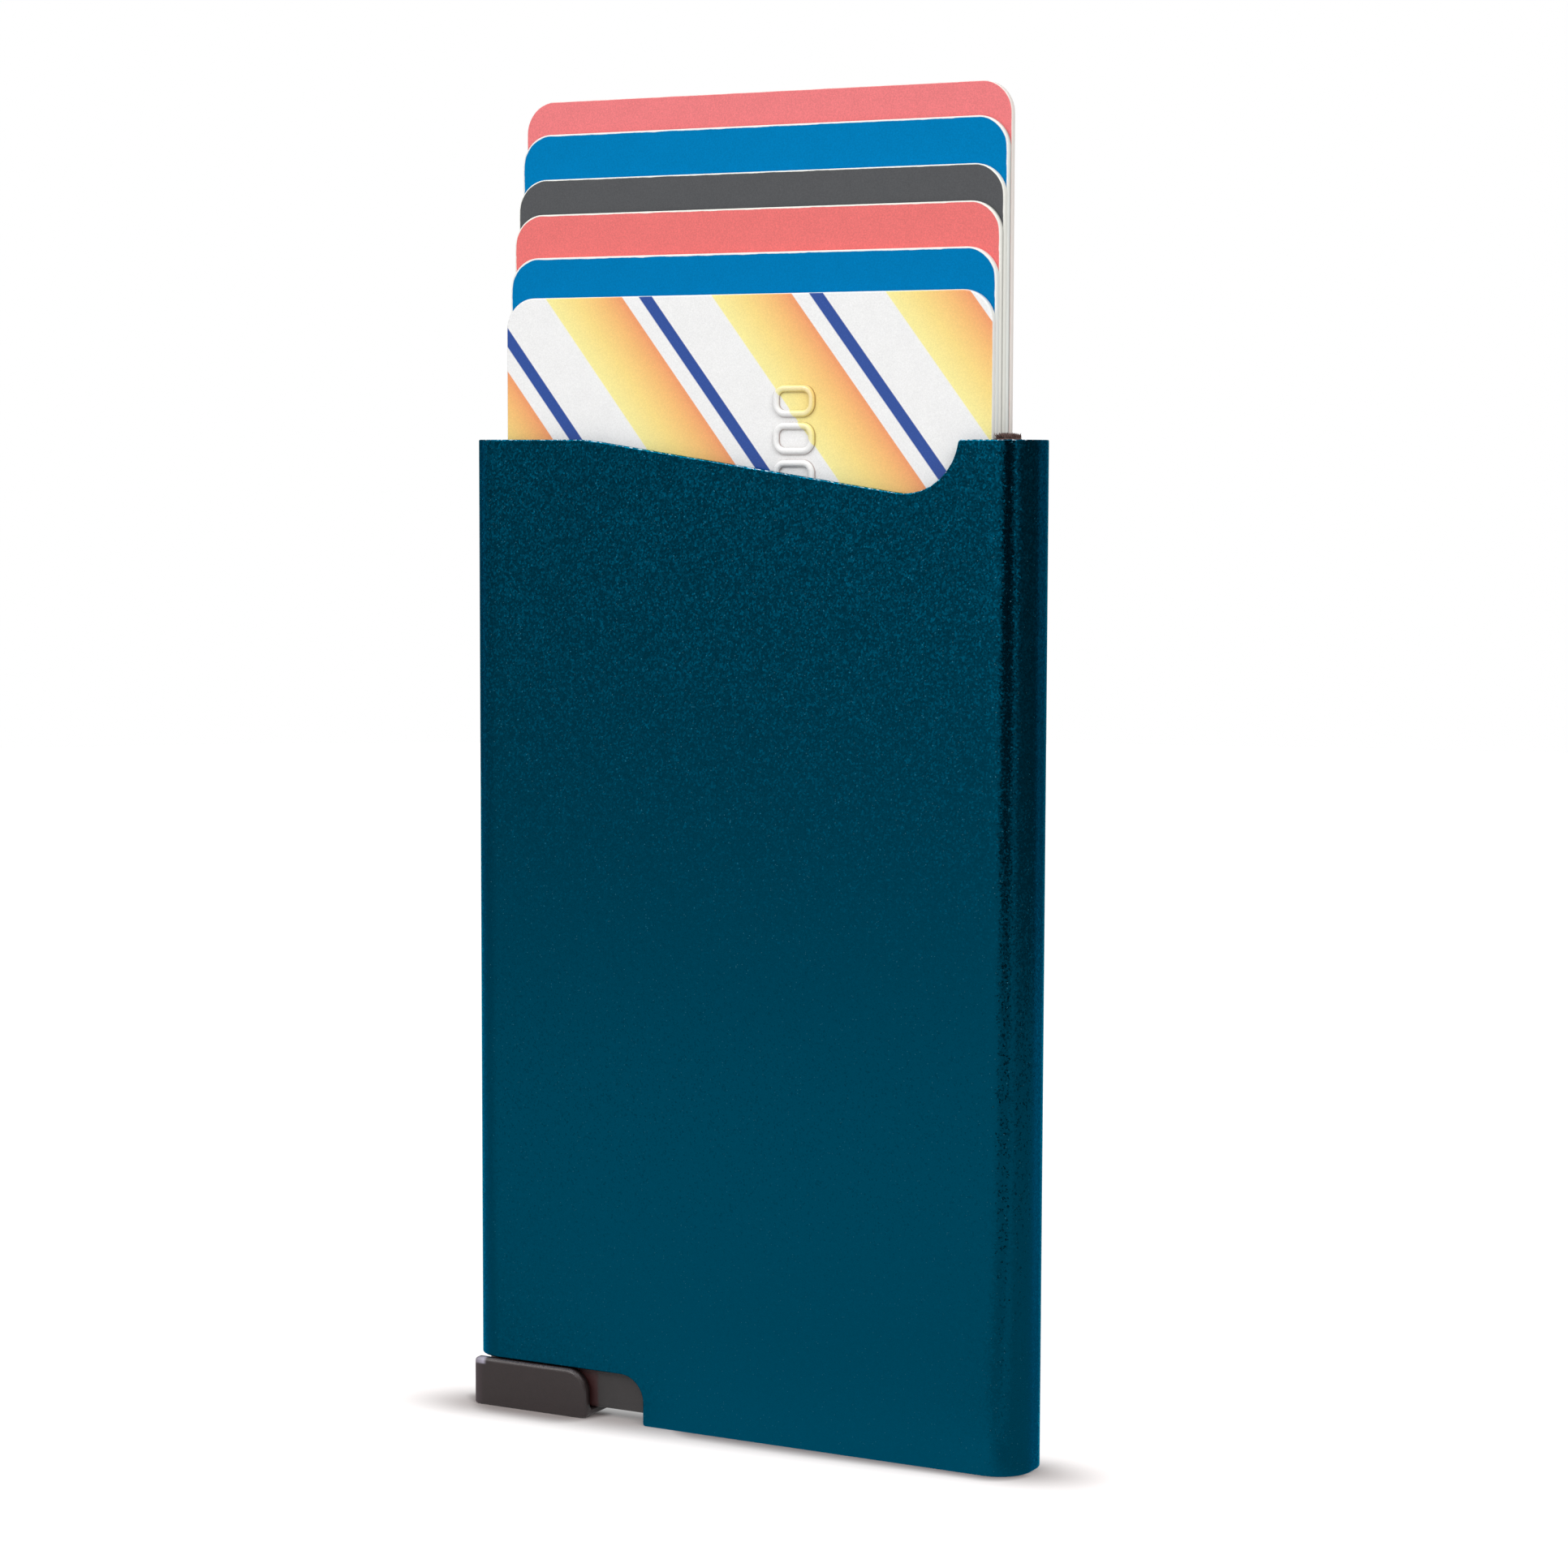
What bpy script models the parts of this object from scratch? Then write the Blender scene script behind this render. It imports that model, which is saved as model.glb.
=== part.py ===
"""Aluminium card holder with six cards pushed up in a fan.

Run with blender --background --python part.py, or from the Text Editor.
Units are metres. X runs across the case, -Y is the front, +Z is up, and the
origin is the middle of the case's bottom edge.
"""
import math

import bmesh
import bpy

MM = 0.001

# Cards: the standard size of a bank card, six of them
CARD_WIDTH = 53.98 * MM
CARD_HEIGHT = 85.6 * MM
CARD_THICKNESS = 0.76 * MM
CARD_CORNER = 3.18 * MM
CARD_PITCH = 0.8 * MM
CARD_CLOSED_BOTTOM = 13.2 * MM
# How far each card is pushed up in the fan, rear card first
CARD_LIFTS = (34.65 * MM, 31.3 * MM, 26.75 * MM, 23.2 * MM, 18.85 * MM, 14.8 * MM)
CARD_COUNT = len(CARD_LIFTS)
CARD_STACK = (CARD_COUNT - 1) * CARD_PITCH + CARD_THICKNESS

# Room around the cards: felt and guide rails at the ends, air in front and behind
CARD_SIDE_GAP = 0.16 * MM
CARD_FRONT_GAP = 0.65 * MM
CARD_BACK_GAP = 1.29 * MM
CARD_RIM_GAP = 0.65 * MM
FELT_THICKNESS = 1.0 * MM
FELT_GAP = 0.05 * MM
RAIL_DEPTH = 2.05 * MM
RAIL_GAP = 0.05 * MM

# Case: a flat extruded tube around the cards, open at both ends
CASE_WALL = 0.8 * MM
CASE_INNER_WIDTH = CARD_WIDTH + 2.0 * (CARD_SIDE_GAP + FELT_THICKNESS + FELT_GAP + RAIL_DEPTH + RAIL_GAP)
CASE_INNER_THICKNESS = CARD_STACK + CARD_FRONT_GAP + CARD_BACK_GAP
CASE_WIDTH = CASE_INNER_WIDTH + 2.0 * CASE_WALL
CASE_THICKNESS = CASE_INNER_THICKNESS + 2.0 * CASE_WALL
CASE_HEIGHT = CARD_CLOSED_BOTTOM + CARD_HEIGHT + CARD_RIM_GAP
CASE_CORNER = 3.6 * MM
CASE_EDGE = 0.1 * MM
CARD_FRONT_Y = -CASE_INNER_THICKNESS / 2.0 + CARD_FRONT_GAP
CARD_STACK_BACK = CARD_FRONT_Y + CARD_STACK

# Thumb cut-out in the top edge of the front wall
THUMB_ARC_RADIUS = 5.7 * MM
THUMB_ARC_FROM_END = 12.64 * MM
THUMB_DEPTH = 5.1 * MM
THUMB_SLOPE = math.radians(8.3)
THUMB_LEAD_RADIUS = 19.0 * MM
THUMB_LEAD_START = math.radians(1.0)
THUMB_ARC_X = CASE_WIDTH / 2.0 - THUMB_ARC_FROM_END

# Moulded insert that closes the bottom of the case
INSERT_GAP = 0.04 * MM
INSERT_WALL = 0.5 * MM
INSERT_BOTTOM = 1.0 * MM
INSERT_FLOOR = 0.4 * MM
INSERT_PAST_CARDS = 1.3 * MM
INSERT_EDGE = 0.35 * MM
INSERT_TOP = CARD_CLOSED_BOTTOM + INSERT_PAST_CARDS

# Thumb saddle, which straddles the insert at the bottom left
SADDLE_LENGTH = 13.45 * MM
SADDLE_END_INSET = 0.8 * MM
SADDLE_TOP = 4.9 * MM
SADDLE_BOTTOM = 0.05 * MM
SADDLE_WEB_GAP = 0.1 * MM
SADDLE_PROUD = 0.46 * MM
SADDLE_SIDE_GAP = 0.07 * MM
SADDLE_CORNER = 2.3 * MM
SADDLE_INNER_CORNER = 0.4 * MM
SADDLE_EDGE = 0.25 * MM
SADDLE_TRAVEL = 5.6 * MM
SADDLE_LEFT = -CASE_WIDTH / 2.0 + SADDLE_END_INSET
SADDLE_RIGHT = SADDLE_LEFT + SADDLE_LENGTH
SADDLE_WEB_TOP = INSERT_BOTTOM - SADDLE_WEB_GAP
SADDLE_FACE_Y = CASE_THICKNESS / 2.0 + SADDLE_PROUD
SADDLE_INNER_Y = CASE_INNER_THICKNESS / 2.0 + SADDLE_SIDE_GAP

# Cut-out at the bottom left of the case, for the thumb saddle
SADDLE_CUT_GAP = 0.12 * MM
SADDLE_CUT_SPARE = 0.88 * MM
SADDLE_CUT_EASE = 0.38 * MM
SADDLE_CUT_RADIUS = SADDLE_CORNER + SADDLE_CUT_EASE
SADDLE_CUT_TOP = SADDLE_TOP + SADDLE_CUT_GAP
SADDLE_CUT_END = SADDLE_RIGHT + SADDLE_TRAVEL + SADDLE_CUT_SPARE

# Pushing arm: six steps, one under each card, on one pivot
ARM_SWING = math.radians(52.0)
PIVOT_FROM_END = 6.5 * MM
PIVOT_DROP = 2.0 * MM
PIVOT_X = CASE_WIDTH / 2.0 - PIVOT_FROM_END
PIVOT_Z = CARD_CLOSED_BOTTOM - PIVOT_DROP
PIVOT_PIN_RADIUS = 1.0 * MM
PIVOT_RUNNING_GAP = 0.06 * MM
PIN_SEAT_GAP = 0.03 * MM
HUB_RADIUS = 1.85 * MM
ARM_CARD_GAP = 0.1 * MM
ARM_UNDERSIDE_START = (3.0 * MM, -3.6 * MM)
ARM_UNDERSIDE_END = (52.6 * MM, -9.0 * MM)
ARM_STEP_RELIEF = 0.06 * MM
ARM_SIDE_GAP = 0.02 * MM

# Fork under the hub, and the pin that turns it
FORK_REACH = SADDLE_TRAVEL / (2.0 * math.tan(ARM_SWING / 2.0))
FORK_PAST_PIN = 0.55 * MM
FORK_HALF_WIDTH = 1.7 * MM
FORK_SLOT_GAP = 0.15 * MM
FORK_BACK = 0.6 * MM
FORK_FRONT = -1.4 * MM
FORK_CORNER = 0.45 * MM
DRIVE_PIN_RADIUS = 0.8 * MM
DRIVE_PIN_FRONT = -1.55 * MM
DRIVE_PIN_BACK = 1.95 * MM
DRIVE_PIN_X = PIVOT_X - SADDLE_TRAVEL / 2.0
DRIVE_PIN_Z = PIVOT_Z - FORK_REACH

# Slide bar, from the saddle's web to the drive pin
BAR_FLOOR_GAP = 0.2 * MM
BAR_THICKNESS = 1.0 * MM
BAR_HALF_WIDTH = 2.0 * MM
BAR_CORNER = 0.6 * MM
BAR_INSET = 5.8 * MM
LUG_HALF_WIDTH = 1.6 * MM
LUG_FRONT = 0.9 * MM
FOOT_INSET = 0.4 * MM
FOOT_LENGTH = 6.0 * MM
FOOT_HALF_WIDTH = 1.0 * MM
FOOT_GAP = 0.05 * MM
FLOOR_SLOT_GAP = 0.4 * MM
BAR_BOTTOM = INSERT_BOTTOM + INSERT_FLOOR + BAR_FLOOR_GAP
BAR_TOP = BAR_BOTTOM + BAR_THICKNESS
BAR_LEFT = SADDLE_LEFT + BAR_INSET
BAR_RIGHT = DRIVE_PIN_X + LUG_HALF_WIDTH
FOOT_LEFT = BAR_LEFT + FOOT_INSET
FOOT_RIGHT = FOOT_LEFT + FOOT_LENGTH
FOOT_BOTTOM = SADDLE_WEB_TOP + FOOT_GAP

# Guide rails and felt at both ends of the card pocket
RAIL_INNER_X = CASE_INNER_WIDTH / 2.0 - RAIL_GAP - RAIL_DEPTH
RAIL_OVER_INSERT = 1.5 * MM
RAIL_BELOW_RIM = 0.7 * MM
RAIL_BOTTOM = INSERT_TOP + RAIL_OVER_INSERT
RAIL_TOP = CASE_HEIGHT - RAIL_BELOW_RIM
FELT_OVER_RAIL_FOOT = 14.0 * MM
RIGHT_FELT_PAST_RIM = 0.4 * MM
LEFT_FELT_BELOW_RIM = 0.3 * MM
FELT_SHORT_OF_STACK = 0.3 * MM
FELT_BOTTOM = RAIL_BOTTOM + FELT_OVER_RAIL_FOOT
RIGHT_FELT_TOP = CASE_HEIGHT + RIGHT_FELT_PAST_RIM
LEFT_FELT_TOP = CASE_HEIGHT - LEFT_FELT_BELOW_RIM
FELT_EDGE = 0.15 * MM

# Values used by every cutter and curve
CUT_MARGIN = 3.0 * MM
CORNER_STEPS = 14
LONG_ARC_STEPS = 24
ROUND_STEPS = 40
MERGE = 1.0e-7
FLAT_ANGLE = math.radians(0.05)
SMOOTH_ANGLE = math.radians(30.0)
BEVEL_ANGLE = math.radians(40.0)
BEVEL_SEGMENTS = 2

OBJECT_NAME = "card_holder"


def clear_scene():
    for obj in list(bpy.data.objects):
        bpy.data.objects.remove(obj, do_unlink=True)


def make_collection(name):
    collection = bpy.data.collections.new(name)
    bpy.context.scene.collection.children.link(collection)
    return collection


def make_material(name, colour, roughness, metallic):
    material = bpy.data.materials.new(name)
    material.use_nodes = True
    shader = material.node_tree.nodes["Principled BSDF"]
    shader.inputs["Base Color"].default_value = (*colour, 1.0)
    shader.inputs["Roughness"].default_value = roughness
    shader.inputs["Metallic"].default_value = metallic
    material.diffuse_color = (*colour, 1.0)
    return material


def arc(centre, radius, start, end, steps):
    """Points on an arc from the start angle to the end angle, both included."""
    points = []
    for step in range(steps + 1):
        angle = start + (end - start) * step / steps
        points.append((centre[0] + radius * math.cos(angle), centre[1] + radius * math.sin(angle)))
    return points


def circle(radius, steps):
    """Points of a full circle around the origin."""
    return arc((0.0, 0.0), radius, 0.0, math.tau * (steps - 1) / steps, steps - 1)


def rounded_box(left, low, right, high, radius):
    """Outline of a rectangle whose four corners share one radius."""
    quarter = math.pi / 2.0
    points = []
    points += arc((right - radius, low + radius), radius, -quarter, 0.0, CORNER_STEPS)
    points += arc((right - radius, high - radius), radius, 0.0, quarter, CORNER_STEPS)
    points += arc((left + radius, high - radius), radius, quarter, 2.0 * quarter, CORNER_STEPS)
    points += arc((left + radius, low + radius), radius, 2.0 * quarter, 3.0 * quarter, CORNER_STEPS)
    return points


def turned(points, angle):
    """The points turned about the origin."""
    cosine = math.cos(angle)
    sine = math.sin(angle)
    return [(x * cosine - y * sine, x * sine + y * cosine) for x, y in points]


def plate(name, outlines, thickness, location, rotation, collection):
    """A flat plate from closed outlines, centred on its own plane."""
    curve = bpy.data.curves.new(name, "CURVE")
    curve.dimensions = "2D"
    curve.fill_mode = "BOTH"
    curve.extrude = thickness / 2.0
    curve.render_resolution_u = 0
    for outline in outlines:
        spline = curve.splines.new("POLY")
        spline.points.add(len(outline) - 1)
        for point, (x, y) in zip(spline.points, outline):
            point.co = (x, y, 0.0, 1.0)
        spline.use_cyclic_u = True
    outline_object = bpy.data.objects.new(name + "_outline", curve)
    collection.objects.link(outline_object)
    outline_object.location = location
    outline_object.rotation_euler = rotation
    bpy.context.view_layer.update()
    mesh = bpy.data.meshes.new_from_object(outline_object)
    mesh.name = name
    work = bmesh.new()
    work.from_mesh(mesh)
    bmesh.ops.remove_doubles(work, verts=work.verts, dist=MERGE)
    bmesh.ops.dissolve_limit(work, angle_limit=FLAT_ANGLE, verts=work.verts, edges=work.edges)
    work.to_mesh(mesh)
    work.free()
    solid = bpy.data.objects.new(name, mesh)
    collection.objects.link(solid)
    solid.matrix_world = outline_object.matrix_world
    bpy.data.objects.remove(outline_object, do_unlink=True)
    bpy.data.curves.remove(curve)
    return solid


def upright_plate(name, outlines, front, back, collection, pivot=(0.0, 0.0), swing=0.0):
    """A plate drawn in X and Z that reaches from front to back along Y."""
    location = (pivot[0], (front + back) / 2.0, pivot[1])
    rotation = (math.pi / 2.0, swing, 0.0)
    return plate(name, outlines, back - front, location, rotation, collection)


def level_plate(name, outlines, low, high, collection):
    """A plate drawn in X and Y that reaches from low to high along Z."""
    return plate(name, outlines, high - low, (0.0, 0.0, (low + high) / 2.0), (0.0, 0.0, 0.0), collection)


def end_plate(name, outlines, left, right, collection):
    """A plate drawn in Y and Z that reaches from left to right along X."""
    location = ((left + right) / 2.0, 0.0, 0.0)
    rotation = (math.pi / 2.0, 0.0, math.pi / 2.0)
    return plate(name, outlines, right - left, location, rotation, collection)


def apply_boolean(target, other, operation):
    modifier = target.modifiers.new(operation.lower() + "_" + other.name, "BOOLEAN")
    modifier.operation = operation
    modifier.solver = "EXACT"
    modifier.object = other
    other.hide_render = True
    other.display_type = "WIRE"


def bevel_edges(target, width):
    """Round every sharp edge the target has so far, before any later cut."""
    modifier = target.modifiers.new("edge_rounding", "BEVEL")
    modifier.width = width
    modifier.segments = BEVEL_SEGMENTS
    modifier.limit_method = "ANGLE"
    modifier.angle_limit = BEVEL_ANGLE
    modifier.use_clamp_overlap = False


def finish(obj, material):
    obj.data.materials.clear()
    obj.data.materials.append(material)
    obj.data.shade_smooth()
    obj.data.set_sharp_from_angle(angle=SMOOTH_ANGLE)


def tube_outline(inset):
    """The case's outer plan outline, moved inwards by the inset."""
    half_width = CASE_WIDTH / 2.0 - inset
    half_thickness = CASE_THICKNESS / 2.0 - inset
    return rounded_box(-half_width, -half_thickness, half_width, half_thickness, CASE_CORNER - inset)


def thumb_outline():
    """The sloping lead-in, the straight slope and the round thumb notch."""
    arc_centre = (THUMB_ARC_X, CASE_HEIGHT - THUMB_DEPTH + THUMB_ARC_RADIUS)
    arc_start = -math.pi / 2.0 - THUMB_SLOPE
    notch = arc(arc_centre, THUMB_ARC_RADIUS, arc_start, 0.0, LONG_ARC_STEPS)
    foot_x, foot_z = notch[0]
    lead_centre_z = CASE_HEIGHT - THUMB_LEAD_RADIUS * math.cos(THUMB_LEAD_START)
    lead_end_z = lead_centre_z + THUMB_LEAD_RADIUS * math.cos(THUMB_SLOPE)
    lead_end_x = foot_x - (lead_end_z - foot_z) / math.tan(THUMB_SLOPE)
    lead_centre = (lead_end_x - THUMB_LEAD_RADIUS * math.sin(THUMB_SLOPE), lead_centre_z)
    lead = arc(lead_centre, THUMB_LEAD_RADIUS, math.pi / 2.0, math.pi / 2.0 - THUMB_SLOPE, LONG_ARC_STEPS)
    clear_z = CASE_HEIGHT + CUT_MARGIN
    right_x = arc_centre[0] + THUMB_ARC_RADIUS
    return lead + notch + [(right_x, clear_z), (lead[0][0], clear_z)]


def saddle_cut_outline():
    """The rounded opening that the thumb saddle slides in."""
    centre = (SADDLE_CUT_END - SADDLE_CUT_RADIUS, SADDLE_CUT_TOP - SADDLE_CUT_RADIUS)
    corner = arc(centre, SADDLE_CUT_RADIUS, 0.0, math.pi / 2.0, CORNER_STEPS)
    left = -CASE_WIDTH / 2.0 - CUT_MARGIN
    return [(left, -CUT_MARGIN), (SADDLE_CUT_END, -CUT_MARGIN)] + corner + [(left, SADDLE_CUT_TOP)]


def build_shell(parts, cutters):
    shell = level_plate("shell", [tube_outline(0.0), tube_outline(CASE_WALL)], 0.0, CASE_HEIGHT, parts)
    front_cut = upright_plate(
        "thumb_cutter", [thumb_outline()], -CASE_THICKNESS / 2.0 - CUT_MARGIN, 0.0, cutters)
    side_cut = upright_plate(
        "saddle_cutter", [saddle_cut_outline()], -CASE_THICKNESS, CASE_THICKNESS, cutters)
    bevel_edges(shell, CASE_EDGE)
    apply_boolean(shell, front_cut, "DIFFERENCE")
    apply_boolean(shell, side_cut, "DIFFERENCE")
    finish(shell, make_material("anodised_aluminium", (0.0, 0.058, 0.107), 0.42, 0.75))
    return shell


def build_insert(parts, cutters):
    outer = tube_outline(CASE_WALL + INSERT_GAP)
    pocket = tube_outline(CASE_WALL + INSERT_GAP + INSERT_WALL)
    insert = level_plate("base_insert", [outer], INSERT_BOTTOM, INSERT_TOP, parts)
    bevel_edges(insert, INSERT_EDGE)
    pocket_cut = level_plate(
        "pocket_cutter", [pocket], INSERT_BOTTOM + INSERT_FLOOR, INSERT_TOP + CUT_MARGIN, cutters)
    slot = rounded_box(
        FOOT_LEFT - FLOOR_SLOT_GAP, -FOOT_HALF_WIDTH - FLOOR_SLOT_GAP,
        FOOT_RIGHT + SADDLE_TRAVEL + FLOOR_SLOT_GAP, FOOT_HALF_WIDTH + FLOOR_SLOT_GAP, FLOOR_SLOT_GAP)
    slot_cut = level_plate("floor_slot_cutter", [slot], -CUT_MARGIN, INSERT_BOTTOM + CUT_MARGIN, cutters)
    hole_cut = upright_plate(
        "pivot_hole_cutter", [circle(PIVOT_PIN_RADIUS + PIN_SEAT_GAP, ROUND_STEPS)],
        -CASE_THICKNESS, CASE_THICKNESS, cutters, (PIVOT_X, PIVOT_Z))
    apply_boolean(insert, pocket_cut, "DIFFERENCE")
    apply_boolean(insert, slot_cut, "DIFFERENCE")
    apply_boolean(insert, hole_cut, "DIFFERENCE")
    finish(insert, make_material("insert_plastic", (0.062, 0.054, 0.054), 0.55, 0.0))
    return insert


def saddle_section():
    """The saddle's U seen along X: two cheeks joined by a web under the insert."""
    quarter = math.pi / 2.0
    radius = SADDLE_INNER_CORNER
    right_centre = (SADDLE_INNER_Y - radius, SADDLE_WEB_TOP + radius)
    left_centre = (-SADDLE_INNER_Y + radius, SADDLE_WEB_TOP + radius)
    section = [
        (-SADDLE_FACE_Y, SADDLE_BOTTOM), (SADDLE_FACE_Y, SADDLE_BOTTOM),
        (SADDLE_FACE_Y, SADDLE_TOP), (SADDLE_INNER_Y, SADDLE_TOP)]
    section += arc(right_centre, radius, 0.0, -quarter, CORNER_STEPS)
    section += arc(left_centre, radius, -quarter, -2.0 * quarter, CORNER_STEPS)
    section += [(-SADDLE_INNER_Y, SADDLE_TOP), (-SADDLE_FACE_Y, SADDLE_TOP)]
    return section


def saddle_side():
    """Everything above and right of the saddle's rounded top corner."""
    centre = (SADDLE_RIGHT - SADDLE_CORNER, SADDLE_TOP - SADDLE_CORNER)
    corner = arc(centre, SADDLE_CORNER, math.pi / 2.0, 0.0, CORNER_STEPS)
    right = SADDLE_RIGHT + CUT_MARGIN
    high = SADDLE_TOP + CUT_MARGIN
    return [(centre[0], high)] + corner + [(SADDLE_RIGHT, -CUT_MARGIN), (right, -CUT_MARGIN), (right, high)]


def build_saddle(parts, cutters):
    saddle = end_plate("thumb_saddle", [saddle_section()], SADDLE_LEFT, SADDLE_RIGHT + CUT_MARGIN / 2.0, parts)
    corner_cut = upright_plate(
        "saddle_corner_cutter", [saddle_side()], -CASE_THICKNESS, CASE_THICKNESS, cutters)
    apply_boolean(saddle, corner_cut, "DIFFERENCE")
    bevel_edges(saddle, SADDLE_EDGE)
    finish(saddle, make_material("saddle_plastic", (0.055, 0.045, 0.044), 0.5, 0.0))
    return saddle


def build_bar(parts, cutters):
    plan = rounded_box(BAR_LEFT, -BAR_HALF_WIDTH, BAR_RIGHT, BAR_HALF_WIDTH, BAR_CORNER)
    bar = level_plate("slide_bar", [plan], BAR_BOTTOM, BAR_TOP, parts)
    lug_top = arc((DRIVE_PIN_X, DRIVE_PIN_Z), LUG_HALF_WIDTH, 0.0, math.pi, ROUND_STEPS // 2)
    root = (BAR_BOTTOM + BAR_TOP) / 2.0
    lug = upright_plate(
        "lug_block",
        [lug_top + [(DRIVE_PIN_X - LUG_HALF_WIDTH, root), (DRIVE_PIN_X + LUG_HALF_WIDTH, root)]],
        LUG_FRONT, BAR_HALF_WIDTH - ARM_SIDE_GAP, cutters)
    foot_plan = rounded_box(FOOT_LEFT, -FOOT_HALF_WIDTH, FOOT_RIGHT, FOOT_HALF_WIDTH, FLOOR_SLOT_GAP)
    foot = level_plate("foot_block", [foot_plan], FOOT_BOTTOM, root, cutters)
    hole = upright_plate(
        "drive_hole_cutter", [circle(DRIVE_PIN_RADIUS + PIN_SEAT_GAP, ROUND_STEPS)],
        0.0, CASE_THICKNESS, cutters, (DRIVE_PIN_X, DRIVE_PIN_Z))
    apply_boolean(bar, lug, "UNION")
    apply_boolean(bar, foot, "UNION")
    apply_boolean(bar, hole, "DIFFERENCE")
    finish(bar, make_material("slider_plastic", (0.05, 0.045, 0.045), 0.5, 0.0))
    return bar


def build_pins(parts):
    pivot = upright_plate(
        "pivot_pin", [circle(PIVOT_PIN_RADIUS, ROUND_STEPS)],
        -CASE_INNER_THICKNESS / 2.0 + INSERT_GAP, CASE_INNER_THICKNESS / 2.0 - INSERT_GAP,
        parts, (PIVOT_X, PIVOT_Z))
    drive = upright_plate(
        "drive_pin", [circle(DRIVE_PIN_RADIUS, ROUND_STEPS)], DRIVE_PIN_FRONT, DRIVE_PIN_BACK,
        parts, (DRIVE_PIN_X, DRIVE_PIN_Z))
    finish(pivot, make_material("pin_steel", (0.5, 0.5, 0.5), 0.3, 1.0))
    finish(drive, make_material("drive_pin_steel", (0.5, 0.5, 0.5), 0.3, 1.0))
    return pivot, drive


def card_front(index):
    return CARD_FRONT_Y + (CARD_COUNT - 1 - index) * CARD_PITCH


def step_outline(index):
    """One step of the arm with the holder closed, seen from the front.

    Its upper edge is the curve on which a level card rises in step with the
    arm's turn: after a turn a the card is at base + a * reach, and it touches
    the arm at the fixed distance reach from the pivot.
    """
    reach = CARD_LIFTS[index] / ARM_SWING
    base = PIVOT_DROP - ARM_CARD_GAP
    points = [(0.0, base)]
    for step in range(LONG_ARC_STEPS + 1):
        angle = ARM_SWING * step / LONG_ARC_STEPS
        rise = base + reach * angle
        along = rise * math.sin(angle) + reach * math.cos(angle)
        height = rise * math.cos(angle) - reach * math.sin(angle)
        points.append((-along, height))
    relief = ARM_STEP_RELIEF * index
    start_x, start_z = ARM_UNDERSIDE_START
    end_x, end_z = ARM_UNDERSIDE_END
    tip = -points[-1][0]
    share = (tip - start_x) / (end_x - start_x)
    points.append((-tip, start_z + share * (end_z - start_z) + relief))
    points.append((-start_x, start_z + relief))
    points.append((0.0, -HUB_RADIUS / 2.0))
    return list(reversed(points))


def fork_outline():
    """The open fork under the hub, drawn pointing down and then turned."""
    end = -(FORK_REACH / math.cos(ARM_SWING / 2.0) + FORK_PAST_PIN)
    half = FORK_HALF_WIDTH
    slot = DRIVE_PIN_RADIUS + FORK_SLOT_GAP
    quarter = math.pi / 2.0
    points = [(half, 0.0), (-half, 0.0)]
    points += arc((-half + FORK_CORNER, end + FORK_CORNER), FORK_CORNER, 2.0 * quarter, 3.0 * quarter,
                  CORNER_STEPS)
    points += [(-slot, end)]
    points += arc((0.0, -FORK_REACH), slot, math.pi, 0.0, ROUND_STEPS // 2)
    points += [(slot, end)]
    points += arc((half - FORK_CORNER, end + FORK_CORNER), FORK_CORNER, 3.0 * quarter, 4.0 * quarter,
                  CORNER_STEPS)
    return turned(list(reversed(points)), ARM_SWING / 2.0)


def build_arm(parts, cutters):
    pivot = (PIVOT_X, PIVOT_Z)
    back = CARD_STACK_BACK + ARM_SIDE_GAP
    arm = upright_plate(
        "ejector_arm", [step_outline(0)], card_front(0) - ARM_SIDE_GAP, back, parts, pivot, ARM_SWING)
    inside = card_front(0) + CARD_THICKNESS / 2.0
    for index in range(1, CARD_COUNT):
        step = upright_plate(
            "arm_step_%d" % (index + 1), [step_outline(index)],
            card_front(index) - ARM_SIDE_GAP, inside, cutters, pivot, ARM_SWING)
        apply_boolean(arm, step, "UNION")
    front = card_front(CARD_COUNT - 1) - ARM_SIDE_GAP
    hub = upright_plate(
        "hub_block", [circle(HUB_RADIUS, ROUND_STEPS)], front - ARM_SIDE_GAP, back + ARM_SIDE_GAP,
        cutters, pivot, ARM_SWING)
    fork = upright_plate(
        "fork_block", [fork_outline()], FORK_FRONT, FORK_BACK, cutters, pivot, ARM_SWING)
    bore = upright_plate(
        "arm_bore_cutter", [circle(PIVOT_PIN_RADIUS + PIVOT_RUNNING_GAP, ROUND_STEPS)],
        -CASE_THICKNESS, CASE_THICKNESS, cutters, pivot, ARM_SWING)
    apply_boolean(arm, fork, "UNION")
    apply_boolean(arm, hub, "UNION")
    apply_boolean(arm, bore, "DIFFERENCE")
    finish(arm, make_material("arm_plastic", (0.06, 0.06, 0.065), 0.45, 0.0))
    return arm


def rail_outline(side):
    """A D shape: flat towards the cards, round against the end of the case."""
    radius = CASE_CORNER - CASE_WALL - RAIL_GAP
    centre_x = CASE_WIDTH / 2.0 - CASE_CORNER
    centre_y = CASE_THICKNESS / 2.0 - CASE_CORNER
    start = math.acos((RAIL_INNER_X - centre_x) / radius)
    points = arc((centre_x, -centre_y), radius, -start, 0.0, CORNER_STEPS)
    points += arc((centre_x, centre_y), radius, 0.0, start, CORNER_STEPS)
    if side < 0:
        points = [(-x, y) for x, y in reversed(points)]
    return points


def build_rail(name, material_name, side, parts):
    rail = level_plate(name, [rail_outline(side)], RAIL_BOTTOM, RAIL_TOP, parts)
    finish(rail, make_material(material_name, (0.05, 0.045, 0.045), 0.6, 0.0))
    return rail


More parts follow.
